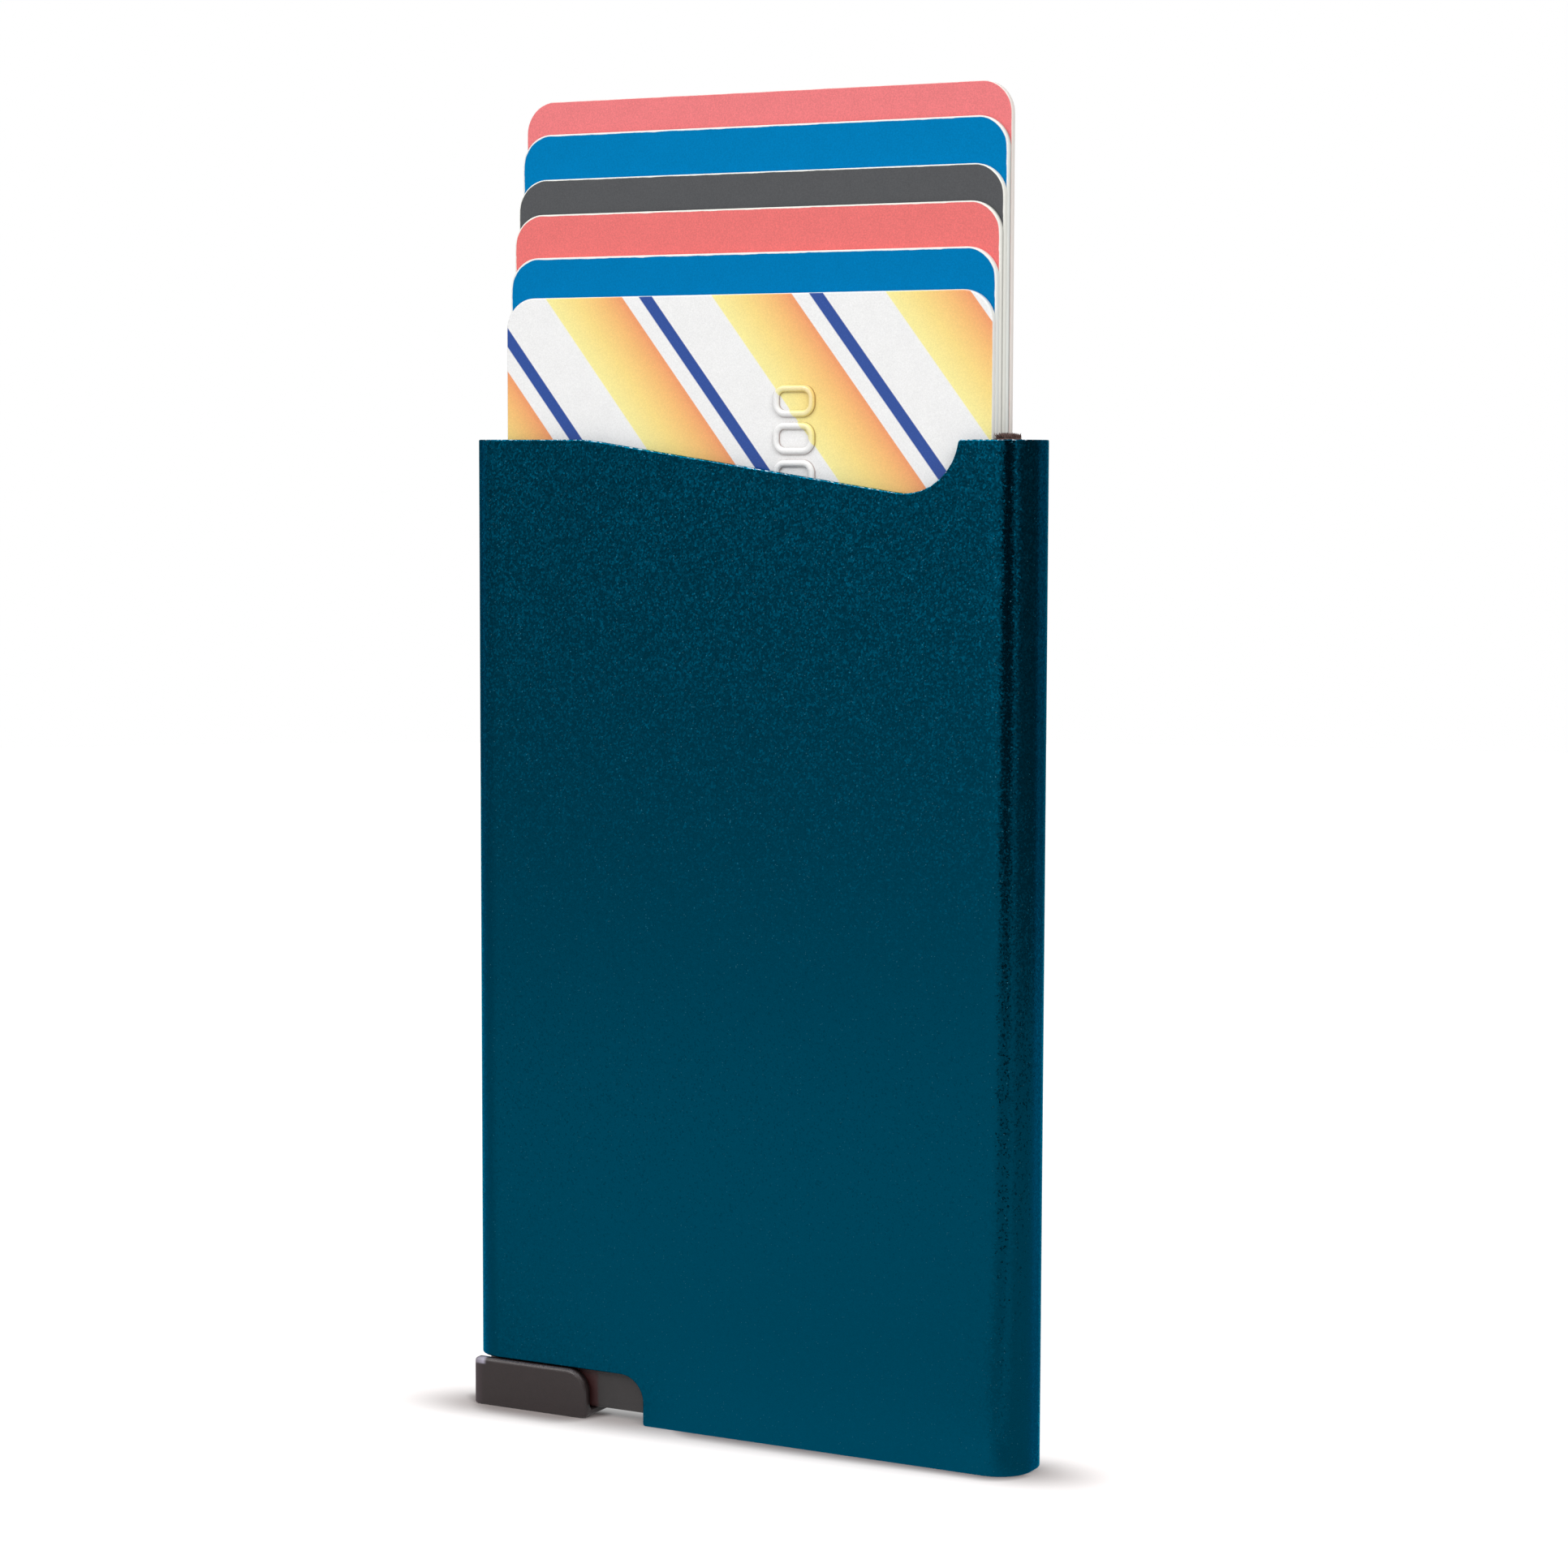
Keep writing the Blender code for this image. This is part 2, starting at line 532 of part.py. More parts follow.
def build_felt(name, material_name, side, top, parts):
    outer_x = RAIL_INNER_X - FELT_GAP
    centre_x = side * (outer_x - FELT_THICKNESS / 2.0)
    centre_y = (CARD_FRONT_Y + CARD_STACK_BACK) / 2.0
    depth = CARD_STACK - 2.0 * FELT_SHORT_OF_STACK
    centre_z = (FELT_BOTTOM + top) / 2.0
    bpy.ops.mesh.primitive_cube_add(size=1.0, location=(centre_x, centre_y, centre_z))
    felt = bpy.context.active_object
    felt.name = name
    felt.scale = (FELT_THICKNESS, depth, top - FELT_BOTTOM)
    bpy.ops.object.transform_apply(location=False, rotation=False, scale=True)
    for collection in list(felt.users_collection):
        collection.objects.unlink(felt)
    parts.objects.link(felt)
    bevel_edges(felt, FELT_EDGE)
    finish(felt, make_material(material_name, (0.035, 0.02, 0.018), 0.95, 0.0))
    return felt


def build_cards(parts):
    colours = (
        ("card_pink_rear", (0.85, 0.223, 0.209)), ("card_blue_rear", (0.0, 0.209, 0.491)),
        ("card_grey", (0.107, 0.114, 0.12)), ("card_pink_front", (0.85, 0.223, 0.209)),
        ("card_blue_front", (0.0, 0.209, 0.491)), ("card_printed", (0.85, 0.6, 0.3)))
    half = CARD_WIDTH / 2.0
    cards = []
    for index, (material_name, colour) in enumerate(colours):
        low = CARD_CLOSED_BOTTOM + CARD_LIFTS[index]
        outline = rounded_box(-half, low, half, low + CARD_HEIGHT, CARD_CORNER)
        front = card_front(index)
        card = upright_plate("card_%d" % (index + 1), [outline], front, front + CARD_THICKNESS, parts)
        finish(card, make_material(material_name, colour, 0.35, 0.0))
        cards.append(card)
    return cards


def main():
    clear_scene()
    parts = make_collection(OBJECT_NAME)
    cutters = make_collection("cutters")
    build_shell(parts, cutters)
    build_insert(parts, cutters)
    build_saddle(parts, cutters)
    build_bar(parts, cutters)
    build_pins(parts)
    build_arm(parts, cutters)
    build_rail("left_guide_rail", "left_rail_plastic", -1, parts)
    build_rail("right_guide_rail", "right_rail_plastic", 1, parts)
    build_felt("left_felt", "left_felt_pile", -1, LEFT_FELT_TOP, parts)
    build_felt("right_felt", "right_felt_pile", 1, RIGHT_FELT_TOP, parts)
    build_cards(parts)


if __name__ == "__main__":
    main()
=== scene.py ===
"""Looks of the aluminium card holder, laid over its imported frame.

Run with blender --background --python scene.py. Lengths are in metres. X runs
across the case, -Y is the front, +Z is up, and the origin is the middle of the
case's bottom edge.
"""

import math

import bpy
import numpy as np
from bpy.props import FloatProperty, FloatVectorProperty, IntProperty, PointerProperty
from bpy.types import Operator, Panel, PropertyGroup
from mathutils import Matrix, Vector


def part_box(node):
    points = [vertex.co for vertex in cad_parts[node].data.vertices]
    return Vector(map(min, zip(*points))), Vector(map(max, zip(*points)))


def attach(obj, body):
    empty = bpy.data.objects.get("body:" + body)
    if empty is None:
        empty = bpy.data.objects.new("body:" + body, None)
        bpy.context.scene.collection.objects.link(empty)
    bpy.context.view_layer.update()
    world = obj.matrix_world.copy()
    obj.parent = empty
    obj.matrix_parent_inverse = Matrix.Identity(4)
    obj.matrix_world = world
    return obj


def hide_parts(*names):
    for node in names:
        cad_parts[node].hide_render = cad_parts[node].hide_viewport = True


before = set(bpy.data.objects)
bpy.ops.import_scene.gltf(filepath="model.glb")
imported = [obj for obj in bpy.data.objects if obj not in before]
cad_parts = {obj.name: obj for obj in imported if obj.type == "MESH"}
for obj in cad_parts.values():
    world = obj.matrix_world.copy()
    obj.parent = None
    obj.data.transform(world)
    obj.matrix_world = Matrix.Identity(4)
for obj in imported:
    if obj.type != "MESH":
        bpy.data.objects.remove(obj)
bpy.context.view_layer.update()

bl_info = {
    "name": "Aluminium card holder",
    "version": (1, 0, 0),
    "blender": (4, 5, 0),
    "location": "3D View > Sidebar > Card holder",
    "description": "Builds and finishes the pieces of a slim card holder",
    "category": "Add Mesh",
}

MM = 0.001
CARDS = ("card_1", "card_2", "card_3", "card_4", "card_5", "card_6")
CARD_BODIES = ("rear_card", "second_card", "third_card", "fourth_card", "fifth_card", "front_card")
CARD_SLOTS = (
    "card_pink_rear", "card_blue_rear", "card_grey", "card_pink_front", "card_blue_front", "card_printed")
CARD_CORNER = 3.18 * MM
# For the five plain cards, rear first: the white core's tint, and the width of the white line by the ink
CORE_TINTS = ((1.0, 0.93, 0.91), (0.96, 0.98, 0.98), (1.0, 1.0, 0.97), (0.99, 0.98, 0.95), (0.95, 0.97, 0.97))
PRINT_LINES = (0.07 * MM, 0.17 * MM, 0.13 * MM, 0.16 * MM, 0.19 * MM)
PRINTED_CARD_LINE = 0.05 * MM
# The front pink and blue cards are a little deeper than the rear ones
DEEPER_PINK = (0.98, 0.86, 0.80)
DEEPER_BLUE = (1.0, 0.94, 0.96)

# Case and its thumb cut-out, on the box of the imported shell
SHELL_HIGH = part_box("shell")[1]
CASE_HALF_WIDTH = SHELL_HIGH.x
CASE_HALF_THICKNESS = SHELL_HIGH.y
CASE_HEIGHT = SHELL_HIGH.z
CASE_CORNER = 3.6 * MM
CASE_WALL = 0.8 * MM
CASE_COLUMNS = 760
THUMB_ARC_X = CASE_HALF_WIDTH - 12.64 * MM
THUMB_ARC_RADIUS = 5.7 * MM
THUMB_DEPTH = 5.1 * MM
THUMB_SLOPE = math.radians(8.3)
THUMB_LEAD_RADIUS = 19.0 * MM
THUMB_LEAD_START = math.radians(1.0)
THUMB_RIM_CORNER = 0.35 * MM

# Thumb saddle, between the case's walls and under the insert
SADDLE_LOW, SADDLE_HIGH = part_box("thumb_saddle")
SADDLE_SIDE_GAP = 0.07 * MM
SADDLE_WEB_GAP = 0.1 * MM
SADDLE_INNER_Y = CASE_HALF_THICKNESS - CASE_WALL + SADDLE_SIDE_GAP
SADDLE_WEB_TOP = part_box("base_insert")[0].z - SADDLE_WEB_GAP
SADDLE_CORNER = 2.3 * MM
SADDLE_LEFT_CORNER = 0.45 * MM
SADDLE_INNER_FILLET = 0.4 * MM
SADDLE_BOTTOM_BEND = 0.12 * MM

# Opening of the case round the saddle, with room for the saddle's travel
SADDLE_TRAVEL = 5.6 * MM
SADDLE_CUT_SPARE = 0.88 * MM
SADDLE_CUT_END = SADDLE_HIGH.x + SADDLE_TRAVEL + SADDLE_CUT_SPARE
SADDLE_CUT_TOP = SADDLE_HIGH.z + 0.12 * MM
SADDLE_CUT_RADIUS = SADDLE_CORNER + 0.38 * MM
SADDLE_CUT_TIP = 0.25 * MM

# Raised noughts, up the front card
FIGURE_COUNT = 6
FIGURE_X = 5.9 * MM
FIGURE_DROP = 10.4 * MM
FIGURE_PITCH = 3.62 * MM
FIGURE_HALF_LENGTH = 1.95 * MM
FIGURE_HALF_HEIGHT = 1.22 * MM
FIGURE_CORNER = 0.95 * MM
FIGURE_HALF_BEAD = 0.36 * MM
FIGURE_SUNK = 0.02 * MM

# Striped print of the front card: its lean, one repeat in millimetres, where the first repeat starts,
# and the inks along a repeat
STRIPE_LEAN = math.radians(38.0)
STRIPE_REPEAT = 15.0
STRIPE_START = 0.30
STRIPE_WHITE = (0.93, 0.93, 0.93)
STRIPE_BLUE = (0.022, 0.075, 0.34)
STRIPE_INKS = (
    (0.120, STRIPE_WHITE), (0.124, (1.0, 0.91, 0.37)), (0.30, (1.0, 0.76, 0.26)), (0.46, (0.98, 0.55, 0.19)),
    (0.586, (0.93, 0.35, 0.15)), (0.590, STRIPE_WHITE), (0.686, STRIPE_WHITE), (0.690, STRIPE_BLUE),
    (0.766, STRIPE_BLUE), (0.770, STRIPE_WHITE))

# Felt and its fibres
FELT_SEED = 11
FELT_CORNER = 0.2 * MM
FELT_EDGE = 0.16 * MM
FELT_DENT = 0.09 * MM
FIBRE_RADIUS = 0.055 * MM
FIBRE_REACH = 0.3 * MM


class CardHolderShapes(PropertyGroup):
    rim_rounding: FloatProperty(
        name="Rim rounding", description="Rounding of the case's cut edges", default=0.13 * MM,
        min=0.02 * MM, max=0.35 * MM, unit="LENGTH")
    card_edge: FloatProperty(
        name="Card edge rounding", description="Rounding along the edge of each card",
        default=0.13 * MM, min=0.01 * MM, max=0.3 * MM, unit="LENGTH")
    figure_height: FloatProperty(
        name="Raised figure height", description="How far the raised figures stand off the front card",
        default=0.42 * MM, min=0.1 * MM, max=0.45 * MM, unit="LENGTH")
    saddle_edge: FloatProperty(
        name="Saddle edge rounding", description="Rounding along the thumb saddle's edges",
        default=0.40 * MM, min=0.05 * MM, max=0.45 * MM, unit="LENGTH")
    pile_length: FloatProperty(
        name="Felt pile length", description="Length of the fibres on the felt's end",
        default=0.55 * MM, min=0.1 * MM, max=0.8 * MM, unit="LENGTH")
    pile_count: IntProperty(
        name="Felt fibres", description="Fibres on each felt's end", default=800, min=100, max=4000)


class CardHolderColours(PropertyGroup):
    case: FloatVectorProperty(
        name="Anodising", description="Colour of the anodised case", subtype="COLOR", size=3,
        default=(0.0, 0.060, 0.108), min=0.0, max=1.0)
    bare_metal: FloatVectorProperty(
        name="Bare metal", description="Aluminium that shows along the milled cut-out", subtype="COLOR",
        size=3, default=(0.86, 0.88, 0.90), min=0.0, max=1.0)
    saddle: FloatVectorProperty(
        name="Thumb saddle", description="Colour of the moulded thumb saddle", subtype="COLOR", size=3,
        default=(0.024, 0.016, 0.016), min=0.0, max=1.0)
    insert: FloatVectorProperty(
        name="Base insert", description="Colour of the moulded base insert", subtype="COLOR", size=3,
        default=(0.031, 0.027, 0.027), min=0.0, max=1.0)
    felt: FloatVectorProperty(
        name="Felt", description="Colour of the felt strips", subtype="COLOR", size=3,
        default=(0.125, 0.058, 0.047), min=0.0, max=1.0)
    pink: FloatVectorProperty(
        name="Pink cards", description="Colour of the two pink cards", subtype="COLOR", size=3,
        default=(0.87, 0.225, 0.235), min=0.0, max=1.0)
    blue: FloatVectorProperty(
        name="Blue cards", description="Colour of the two blue cards", subtype="COLOR", size=3,
        default=(0.0, 0.205, 0.49), min=0.0, max=1.0)
    grey: FloatVectorProperty(
        name="Grey card", description="Colour of the dark grey card", subtype="COLOR", size=3,
        default=(0.100, 0.103, 0.109), min=0.0, max=1.0)
    core: FloatVectorProperty(
        name="Card core", description="White plastic core that shows along the card edges",
        subtype="COLOR", size=3, default=(0.95, 0.95, 0.915), min=0.0, max=1.0)


def shapes():
    return bpy.context.scene.card_holder_shapes


def colours():
    return bpy.context.scene.card_holder_colours


# Surfaces


def add_object(name, data):
    """An object of the scene at the origin, for a mesh, a lamp or a camera."""
    obj = bpy.data.objects.new(name, data)
    bpy.context.scene.collection.objects.link(obj)
    return obj


def set_attribute(obj, name, values):
    """A number for each of the mesh's points, which a material reads by name."""
    made = obj.data.attributes.new(name, "FLOAT", "POINT")
    made.data.foreach_set("value", values.astype(np.float32).ravel())


def mesh_object(name, points, faces, material):
    """A smooth mesh object at the origin from an array of points and a list of face index arrays.

    The volume that the faces close is the sum of the signed pyramids from the
    origin to each face, and the faces are turned over where it is negative.
    """
    volume = 0.0
    for group in faces:
        first = points[group[:, 0]]
        for k in range(1, group.shape[1] - 1):
            volume += np.einsum(
                "ij,ij->i", first, np.cross(points[group[:, k]], points[group[:, k + 1]])).sum()
    if volume < 0.0:
        faces = [group[:, ::-1] for group in faces]
    mesh = bpy.data.meshes.new(name)
    counts = np.concatenate([np.full(len(group), group.shape[1]) for group in faces])
    loops = np.concatenate([group.ravel() for group in faces])
    mesh.vertices.add(len(points))
    mesh.vertices.foreach_set("co", points.astype(np.float32).ravel())
    mesh.loops.add(len(loops))
    mesh.loops.foreach_set("vertex_index", loops.astype(np.int32))
    mesh.polygons.add(len(counts))
    mesh.polygons.foreach_set("loop_start", np.concatenate([[0], np.cumsum(counts)[:-1]]).astype(np.int32))
    mesh.update(calc_edges=True)
    mesh.polygons.foreach_set("use_smooth", np.ones(len(counts), bool))
    mesh.validate()
    mesh.update()
    mesh.materials.append(material)
    return add_object(name, mesh)


def quads(rows, columns, wrap_rows=False, wrap_columns=False):
    """Four-cornered faces of a grid of points numbered row by row."""
    i = np.arange(rows if wrap_rows else rows - 1)
    j = np.arange(columns if wrap_columns else columns - 1)
    i, j = np.meshgrid(i, j, indexing="ij")
    ni, nj = (i + 1) % rows, (j + 1) % columns
    corners = [i * columns + j, i * columns + nj, ni * columns + nj, ni * columns + j]
    return np.stack(corners, -1).reshape(-1, 4)


def rim_of(rows, columns):
    """Indices of a grid's outer points, once round, as (row, column) arrays."""
    down, across = rows - 1, columns - 1
    r = np.concatenate([np.zeros(across), np.arange(down), np.full(across, down), np.arange(down, 0, -1)])
    c = np.concatenate([np.arange(across), np.full(down, across), np.arange(across, 0, -1), np.zeros(down)])
    return r.astype(int), c.astype(int)


def edged_plate(face, thickness, rounding, steps=3):
    """Points and faces of a closed plate with rounded edges.

    face(inset, depth) gives the plate's outline drawn in by inset, as a grid of
    points at that depth. The rim follows a quarter circle from the front, where
    inset = r (1 - sin t) and depth = r (1 - cos t), a straight wall, and the same
    quarter circle to the back.
    """
    front = face(rounding, 0.0)
    back = face(rounding, thickness)
    rows, columns = front.shape[:2]
    turn = np.linspace(0.0, math.pi / 2.0, steps + 1)[1:]
    insets = rounding * (1.0 - np.sin(turn))
    depths = rounding * (1.0 - np.cos(turn))
    levels = list(zip(insets, depths)) + list(zip(insets[::-1], thickness - depths[::-1]))
    r, c = rim_of(rows, columns)
    rings = [face(inset, depth)[r, c] for inset, depth in levels]
    points = np.concatenate([front.reshape(-1, 3), back.reshape(-1, 3)] + rings)
    cells = rows * columns
    edge = r * columns + c
    loop = len(edge)
    starts = 2 * cells + loop * np.arange(len(rings))
    chain = [edge] + [start + np.arange(loop) for start in starts] + [cells + edge]
    walls = []
    for near, far in zip(chain[:-1], chain[1:]):
        walls.append(np.stack([near, np.roll(near, -1), np.roll(far, -1), far], -1))
    grid = quads(rows, columns)
    return points, [grid[:, ::-1], grid + cells] + walls


def corner_rows(half, radius, steps, middle, inset):
    """Heights across a rounded rectangle and how far its sides stand back there.

    In a corner the height is half - radius + (radius - inset) sin t and the side
    stands back radius - (radius - inset) cos t, with t from 0 to a right angle.
    """
    t = np.linspace(0.0, math.pi / 2.0, steps + 1)
    up = half - radius + (radius - inset) * np.sin(t)
    back = radius - (radius - inset) * np.cos(t)
    flat = np.linspace(-(half - radius), half - radius, middle + 2)[1:-1]
    heights = np.concatenate([-up[::-1], flat, up])
    stands = np.concatenate([back[::-1], np.full(middle, inset), back])
    return heights, stands


def rounded_face(half_width, half_height, radius, steps, middle, across):
    """A rounded rectangle as a grid: every row runs from one side to the other, with its
    second and last but one points close to the sides."""
    share = np.concatenate([[-1.0], np.linspace(-0.996, 0.996, across - 2), [1.0]])

    def face(inset):
        heights, stands = corner_rows(half_height, radius, steps, middle, inset)
        u = (half_width - stands)[:, None] * share[None, :]
        return u, np.repeat(heights[:, None], across, axis=1)

    return face


# Shader helpers


def add_node(tree, kind, label="", **settings):
    made = tree.nodes.new(kind)
    made.label = label
    for key, value in settings.items():
        setattr(made, key, value)
    return made


def feed(tree, target, value):
    """Link a socket, or set a plain value on the target socket."""
    if isinstance(value, bpy.types.NodeSocket):
        tree.links.new(value, target)
    elif value is not None:
        target.default_value = value


def maths(tree, operation, a, b=None, c=None, clamp=False, label=""):
    made = add_node(tree, "ShaderNodeMath", label, operation=operation, use_clamp=clamp)
    feed(tree, made.inputs[0], a)
    feed(tree, made.inputs[1], b)
    feed(tree, made.inputs[2], c)
    return made.outputs[0]


def vector_maths(tree, operation, a, b=None, label="", c=None):
    made = add_node(tree, "ShaderNodeVectorMath", label, operation=operation)
    feed(tree, made.inputs[0], a)
    feed(tree, made.inputs[1], b)
    feed(tree, made.inputs[2], c)
    return made.outputs["Value" if operation in ("LENGTH", "DISTANCE") else "Vector"]


def split_xyz(tree, vector):
    """The X, Y and Z of a vector, as sockets by name."""
    made = add_node(tree, "ShaderNodeSeparateXYZ")
    feed(tree, made.inputs[0], vector)
    return made.outputs


def attribute(tree, name):
    """The number that set_attribute gave the mesh's points."""
    return add_node(tree, "ShaderNodeAttribute", name, attribute_name=name).outputs["Fac"]


def fed_by(socket):
    """The socket whose link feeds this one."""
    return socket.links[0].from_socket


def mix_colour(tree, share, first, second, mode="MIX", label=""):
    made = add_node(tree, "ShaderNodeMix", label, data_type="RGBA", blend_type=mode)
    feed(tree, made.inputs["Factor"], share)
    feed(tree, made.inputs[6], first if isinstance(first, bpy.types.NodeSocket) else (*first[:3], 1.0))
    feed(tree, made.inputs[7], second if isinstance(second, bpy.types.NodeSocket) else (*second[:3], 1.0))
    return made.outputs[2]


def between(tree, value, low, high, smooth=True, label=""):
    """0 below low and 1 above high, with an even or a soft rise between them."""
    made = add_node(
        tree, "ShaderNodeMapRange", label, interpolation_type="SMOOTHSTEP" if smooth else "LINEAR")
    feed(tree, made.inputs["Value"], value)
    made.inputs["From Min"].default_value = low
    made.inputs["From Max"].default_value = high
    return made.outputs["Result"]


def scaled(tree, value, low, high):
    """A 0 to 1 value spread over low to high."""
    made = add_node(tree, "ShaderNodeMapRange", interpolation_type="LINEAR")
    feed(tree, made.inputs["Value"], value)
    made.inputs["To Min"].default_value = low
    made.inputs["To Max"].default_value = high
    return made.outputs["Result"]


def noise(tree, vector, size, detail=2.0, roughness=0.5, label=""):
    """Noise whose lumps are about size across, or whose scale is a socket given as size."""
    made = add_node(tree, "ShaderNodeTexNoise", label, noise_dimensions="3D")
    feed(tree, made.inputs["Vector"], vector)
    feed(tree, made.inputs["Scale"], size if isinstance(size, bpy.types.NodeSocket) else 1.0 / size)
    made.inputs["Detail"].default_value = detail
    made.inputs["Roughness"].default_value = roughness
    return made.outputs["Fac"]


def ramp(tree, value, stops, label=""):
    made = add_node(tree, "ShaderNodeValToRGB", label)
    feed(tree, made.inputs["Fac"], value)
    elements = made.color_ramp.elements
    while len(elements) < len(stops):
        elements.new(0.5)
    for element, (position, colour) in zip(elements, stops):
        element.position = position
        element.color = (*colour, 1.0)
    return made.outputs["Color"]


def new_group(name, inputs, outputs):
    """An empty shader group with the named sockets. Returns it with its input and output nodes."""
    group = bpy.data.node_groups.new(name, "ShaderNodeTree")
    for socket, kind, value in inputs:
        made = group.interface.new_socket(socket, in_out="INPUT", socket_type=kind)
        if value is not None:
            made.default_value = value
    for socket, kind in outputs:
        group.interface.new_socket(socket, in_out="OUTPUT", socket_type=kind)
    return group, group.nodes.new("NodeGroupInput"), group.nodes.new("NodeGroupOutput")


def grain_group():
    """Blasted or moulded grain: a lumpy height, a light and dark mottle, sparse points for painted
    glints, and a small random tilt and a random lightness of each grain.

    A tilt is t |t| on each axis, with t even between -1 and 1, so most grains lie nearly flat.
    A lightness is f f - 1/3, with f even between 0 and 1, so few grains are bright.
    """
    if "fine_grain" in bpy.data.node_groups:
        return bpy.data.node_groups["fine_grain"]
    group, given, put = new_group(
        "fine_grain",
        [("Vector", "NodeSocketVector", None), ("Grains per Metre", "NodeSocketFloat", 6000.0),
         ("Mottle Depth", "NodeSocketFloat", 0.2), ("Point Cut", "NodeSocketFloat", 0.74)],
        [("Shade", "NodeSocketFloat"), ("Height", "NodeSocketFloat"), ("Points", "NodeSocketFloat"),
         ("Tilt", "NodeSocketVector"), ("Lightness", "NodeSocketFloat")])
    size = given.outputs["Grains per Metre"]
    fine = noise(group, given.outputs["Vector"], size, 2.0, 0.6, "grain")
    broad = noise(group, given.outputs["Vector"], maths(group, "MULTIPLY", size, 0.22), 3.0, 0.55, "cloud")
    blend = maths(group, "MULTIPLY_ADD", broad, 0.45, maths(group, "MULTIPLY", fine, 0.55))
    centred = maths(group, "SUBTRACT", blend, 0.5)
    depth = maths(group, "MULTIPLY", given.outputs["Mottle Depth"], 4.0)
    feed(group, put.inputs["Shade"], maths(group, "MULTIPLY_ADD", centred, depth, 1.0))
    feed(group, put.inputs["Height"], fine)
    cells = add_node(group, "ShaderNodeTexVoronoi", "points", feature="F1")
    feed(group, cells.inputs["Vector"], given.outputs["Vector"])
    feed(group, cells.inputs["Scale"], maths(group, "MULTIPLY", size, 0.9))
    split = add_node(group, "ShaderNodeSeparateColor")
    feed(group, split.inputs[0], cells.outputs["Color"])
    chosen = maths(group, "GREATER_THAN", split.outputs[0], given.outputs["Point Cut"])
    near = maths(group, "LESS_THAN", cells.outputs["Distance"], 0.32)
    lit = maths(group, "MULTIPLY", chosen, near)
    feed(group, put.inputs["Points"], maths(group, "MULTIPLY", lit, split.outputs[1]))
    even = vector_maths(
        group, "MULTIPLY_ADD", cells.outputs["Color"], (2.0,) * 3, "even tilt", (-1.0,) * 3)
    steepness = vector_maths(group, "ABSOLUTE", even)
    feed(group, put.inputs["Tilt"], vector_maths(group, "MULTIPLY", even, steepness))
    square = maths(group, "MULTIPLY", split.outputs[2], split.outputs[2])
    feed(group, put.inputs["Lightness"], maths(group, "SUBTRACT", square, 1.0 / 3.0))
    return group


def card_edge_group():
    """How near a point of a card is to the card's rounded outline, and the print's mottle.

    The distance is that to a rounded rectangle: the length of what sticks out
    of the inner rectangle, less the corner radius. It is negative inside.
    """
    if "card_outline" in bpy.data.node_groups:
        return bpy.data.node_groups["card_outline"]
    group, given, put = new_group(
        "card_outline",
        [("Vector", "NodeSocketVector", None), ("Inner Half Size", "NodeSocketVector", None),
         ("Corner", "NodeSocketFloat", CARD_CORNER), ("Line", "NodeSocketFloat", 0.12 * MM)],
        [("Edge", "NodeSocketFloat"), ("Mottle", "NodeSocketFloat"), ("Height", "NodeSocketFloat")])
    flat = vector_maths(group, "MULTIPLY", given.outputs["Vector"], (1.0, 0.0, 1.0))
    away = vector_maths(group, "ABSOLUTE", flat)
    out = vector_maths(group, "SUBTRACT", away, given.outputs["Inner Half Size"])
    out = vector_maths(group, "MAXIMUM", out, (0.0, 0.0, 0.0))
    distance = maths(group, "SUBTRACT", vector_maths(group, "LENGTH", out), given.outputs["Corner"])
    wander = noise(group, given.outputs["Vector"], 1.6 * MM, 3.0, 0.6, "uneven print edge")
    line = maths(group, "MULTIPLY", given.outputs["Line"], scaled(group, wander, 0.45, 1.5))
    past = maths(group, "DIVIDE", maths(group, "ADD", distance, line), 0.05 * MM)
    feed(group, put.inputs["Edge"], maths(group, "ADD", past, 0.5, clamp=True))
    speck = noise(group, given.outputs["Vector"], 0.14 * MM, 2.0, 0.7, "print grain")
    cloud = noise(group, given.outputs["Vector"], 2.4 * MM, 2.0, 0.5, "ink cloud")
    mixed = maths(group, "MULTIPLY_ADD", cloud, 0.14, maths(group, "MULTIPLY", speck, 0.86))
    feed(group, put.inputs["Mottle"], mixed)
    feed(group, put.inputs["Height"], speck)
    return group


def use_group(tree, group, vector, **values):
    made = tree.nodes.new("ShaderNodeGroup")
    made.node_tree = group
    feed(tree, made.inputs["Vector"], vector)
    for key, value in values.items():
        feed(tree, made.inputs[key.replace("_", " ")], value)
    return made


def new_material(name, roughness, metallic=0.0):
    """A material with its Principled BSDF and the object's own coordinates."""
    material = bpy.data.materials.new(name)
    material.use_nodes = True
    tree = material.node_tree
    shader = tree.nodes["Principled BSDF"]
    shader.inputs["Roughness"].default_value = roughness
    shader.inputs["Metallic"].default_value = metallic
    place = add_node(tree, "ShaderNodeTexCoord").outputs["Object"]
    return material, tree, shader, place


def bump(tree, shader, height, distance, strength=1.0):
    made = add_node(tree, "ShaderNodeBump")
    made.inputs["Strength"].default_value = strength
    made.inputs["Distance"].default_value = distance
    feed(tree, made.inputs["Height"], height)
    feed(tree, shader.inputs["Normal"], made.outputs["Normal"])


# Case


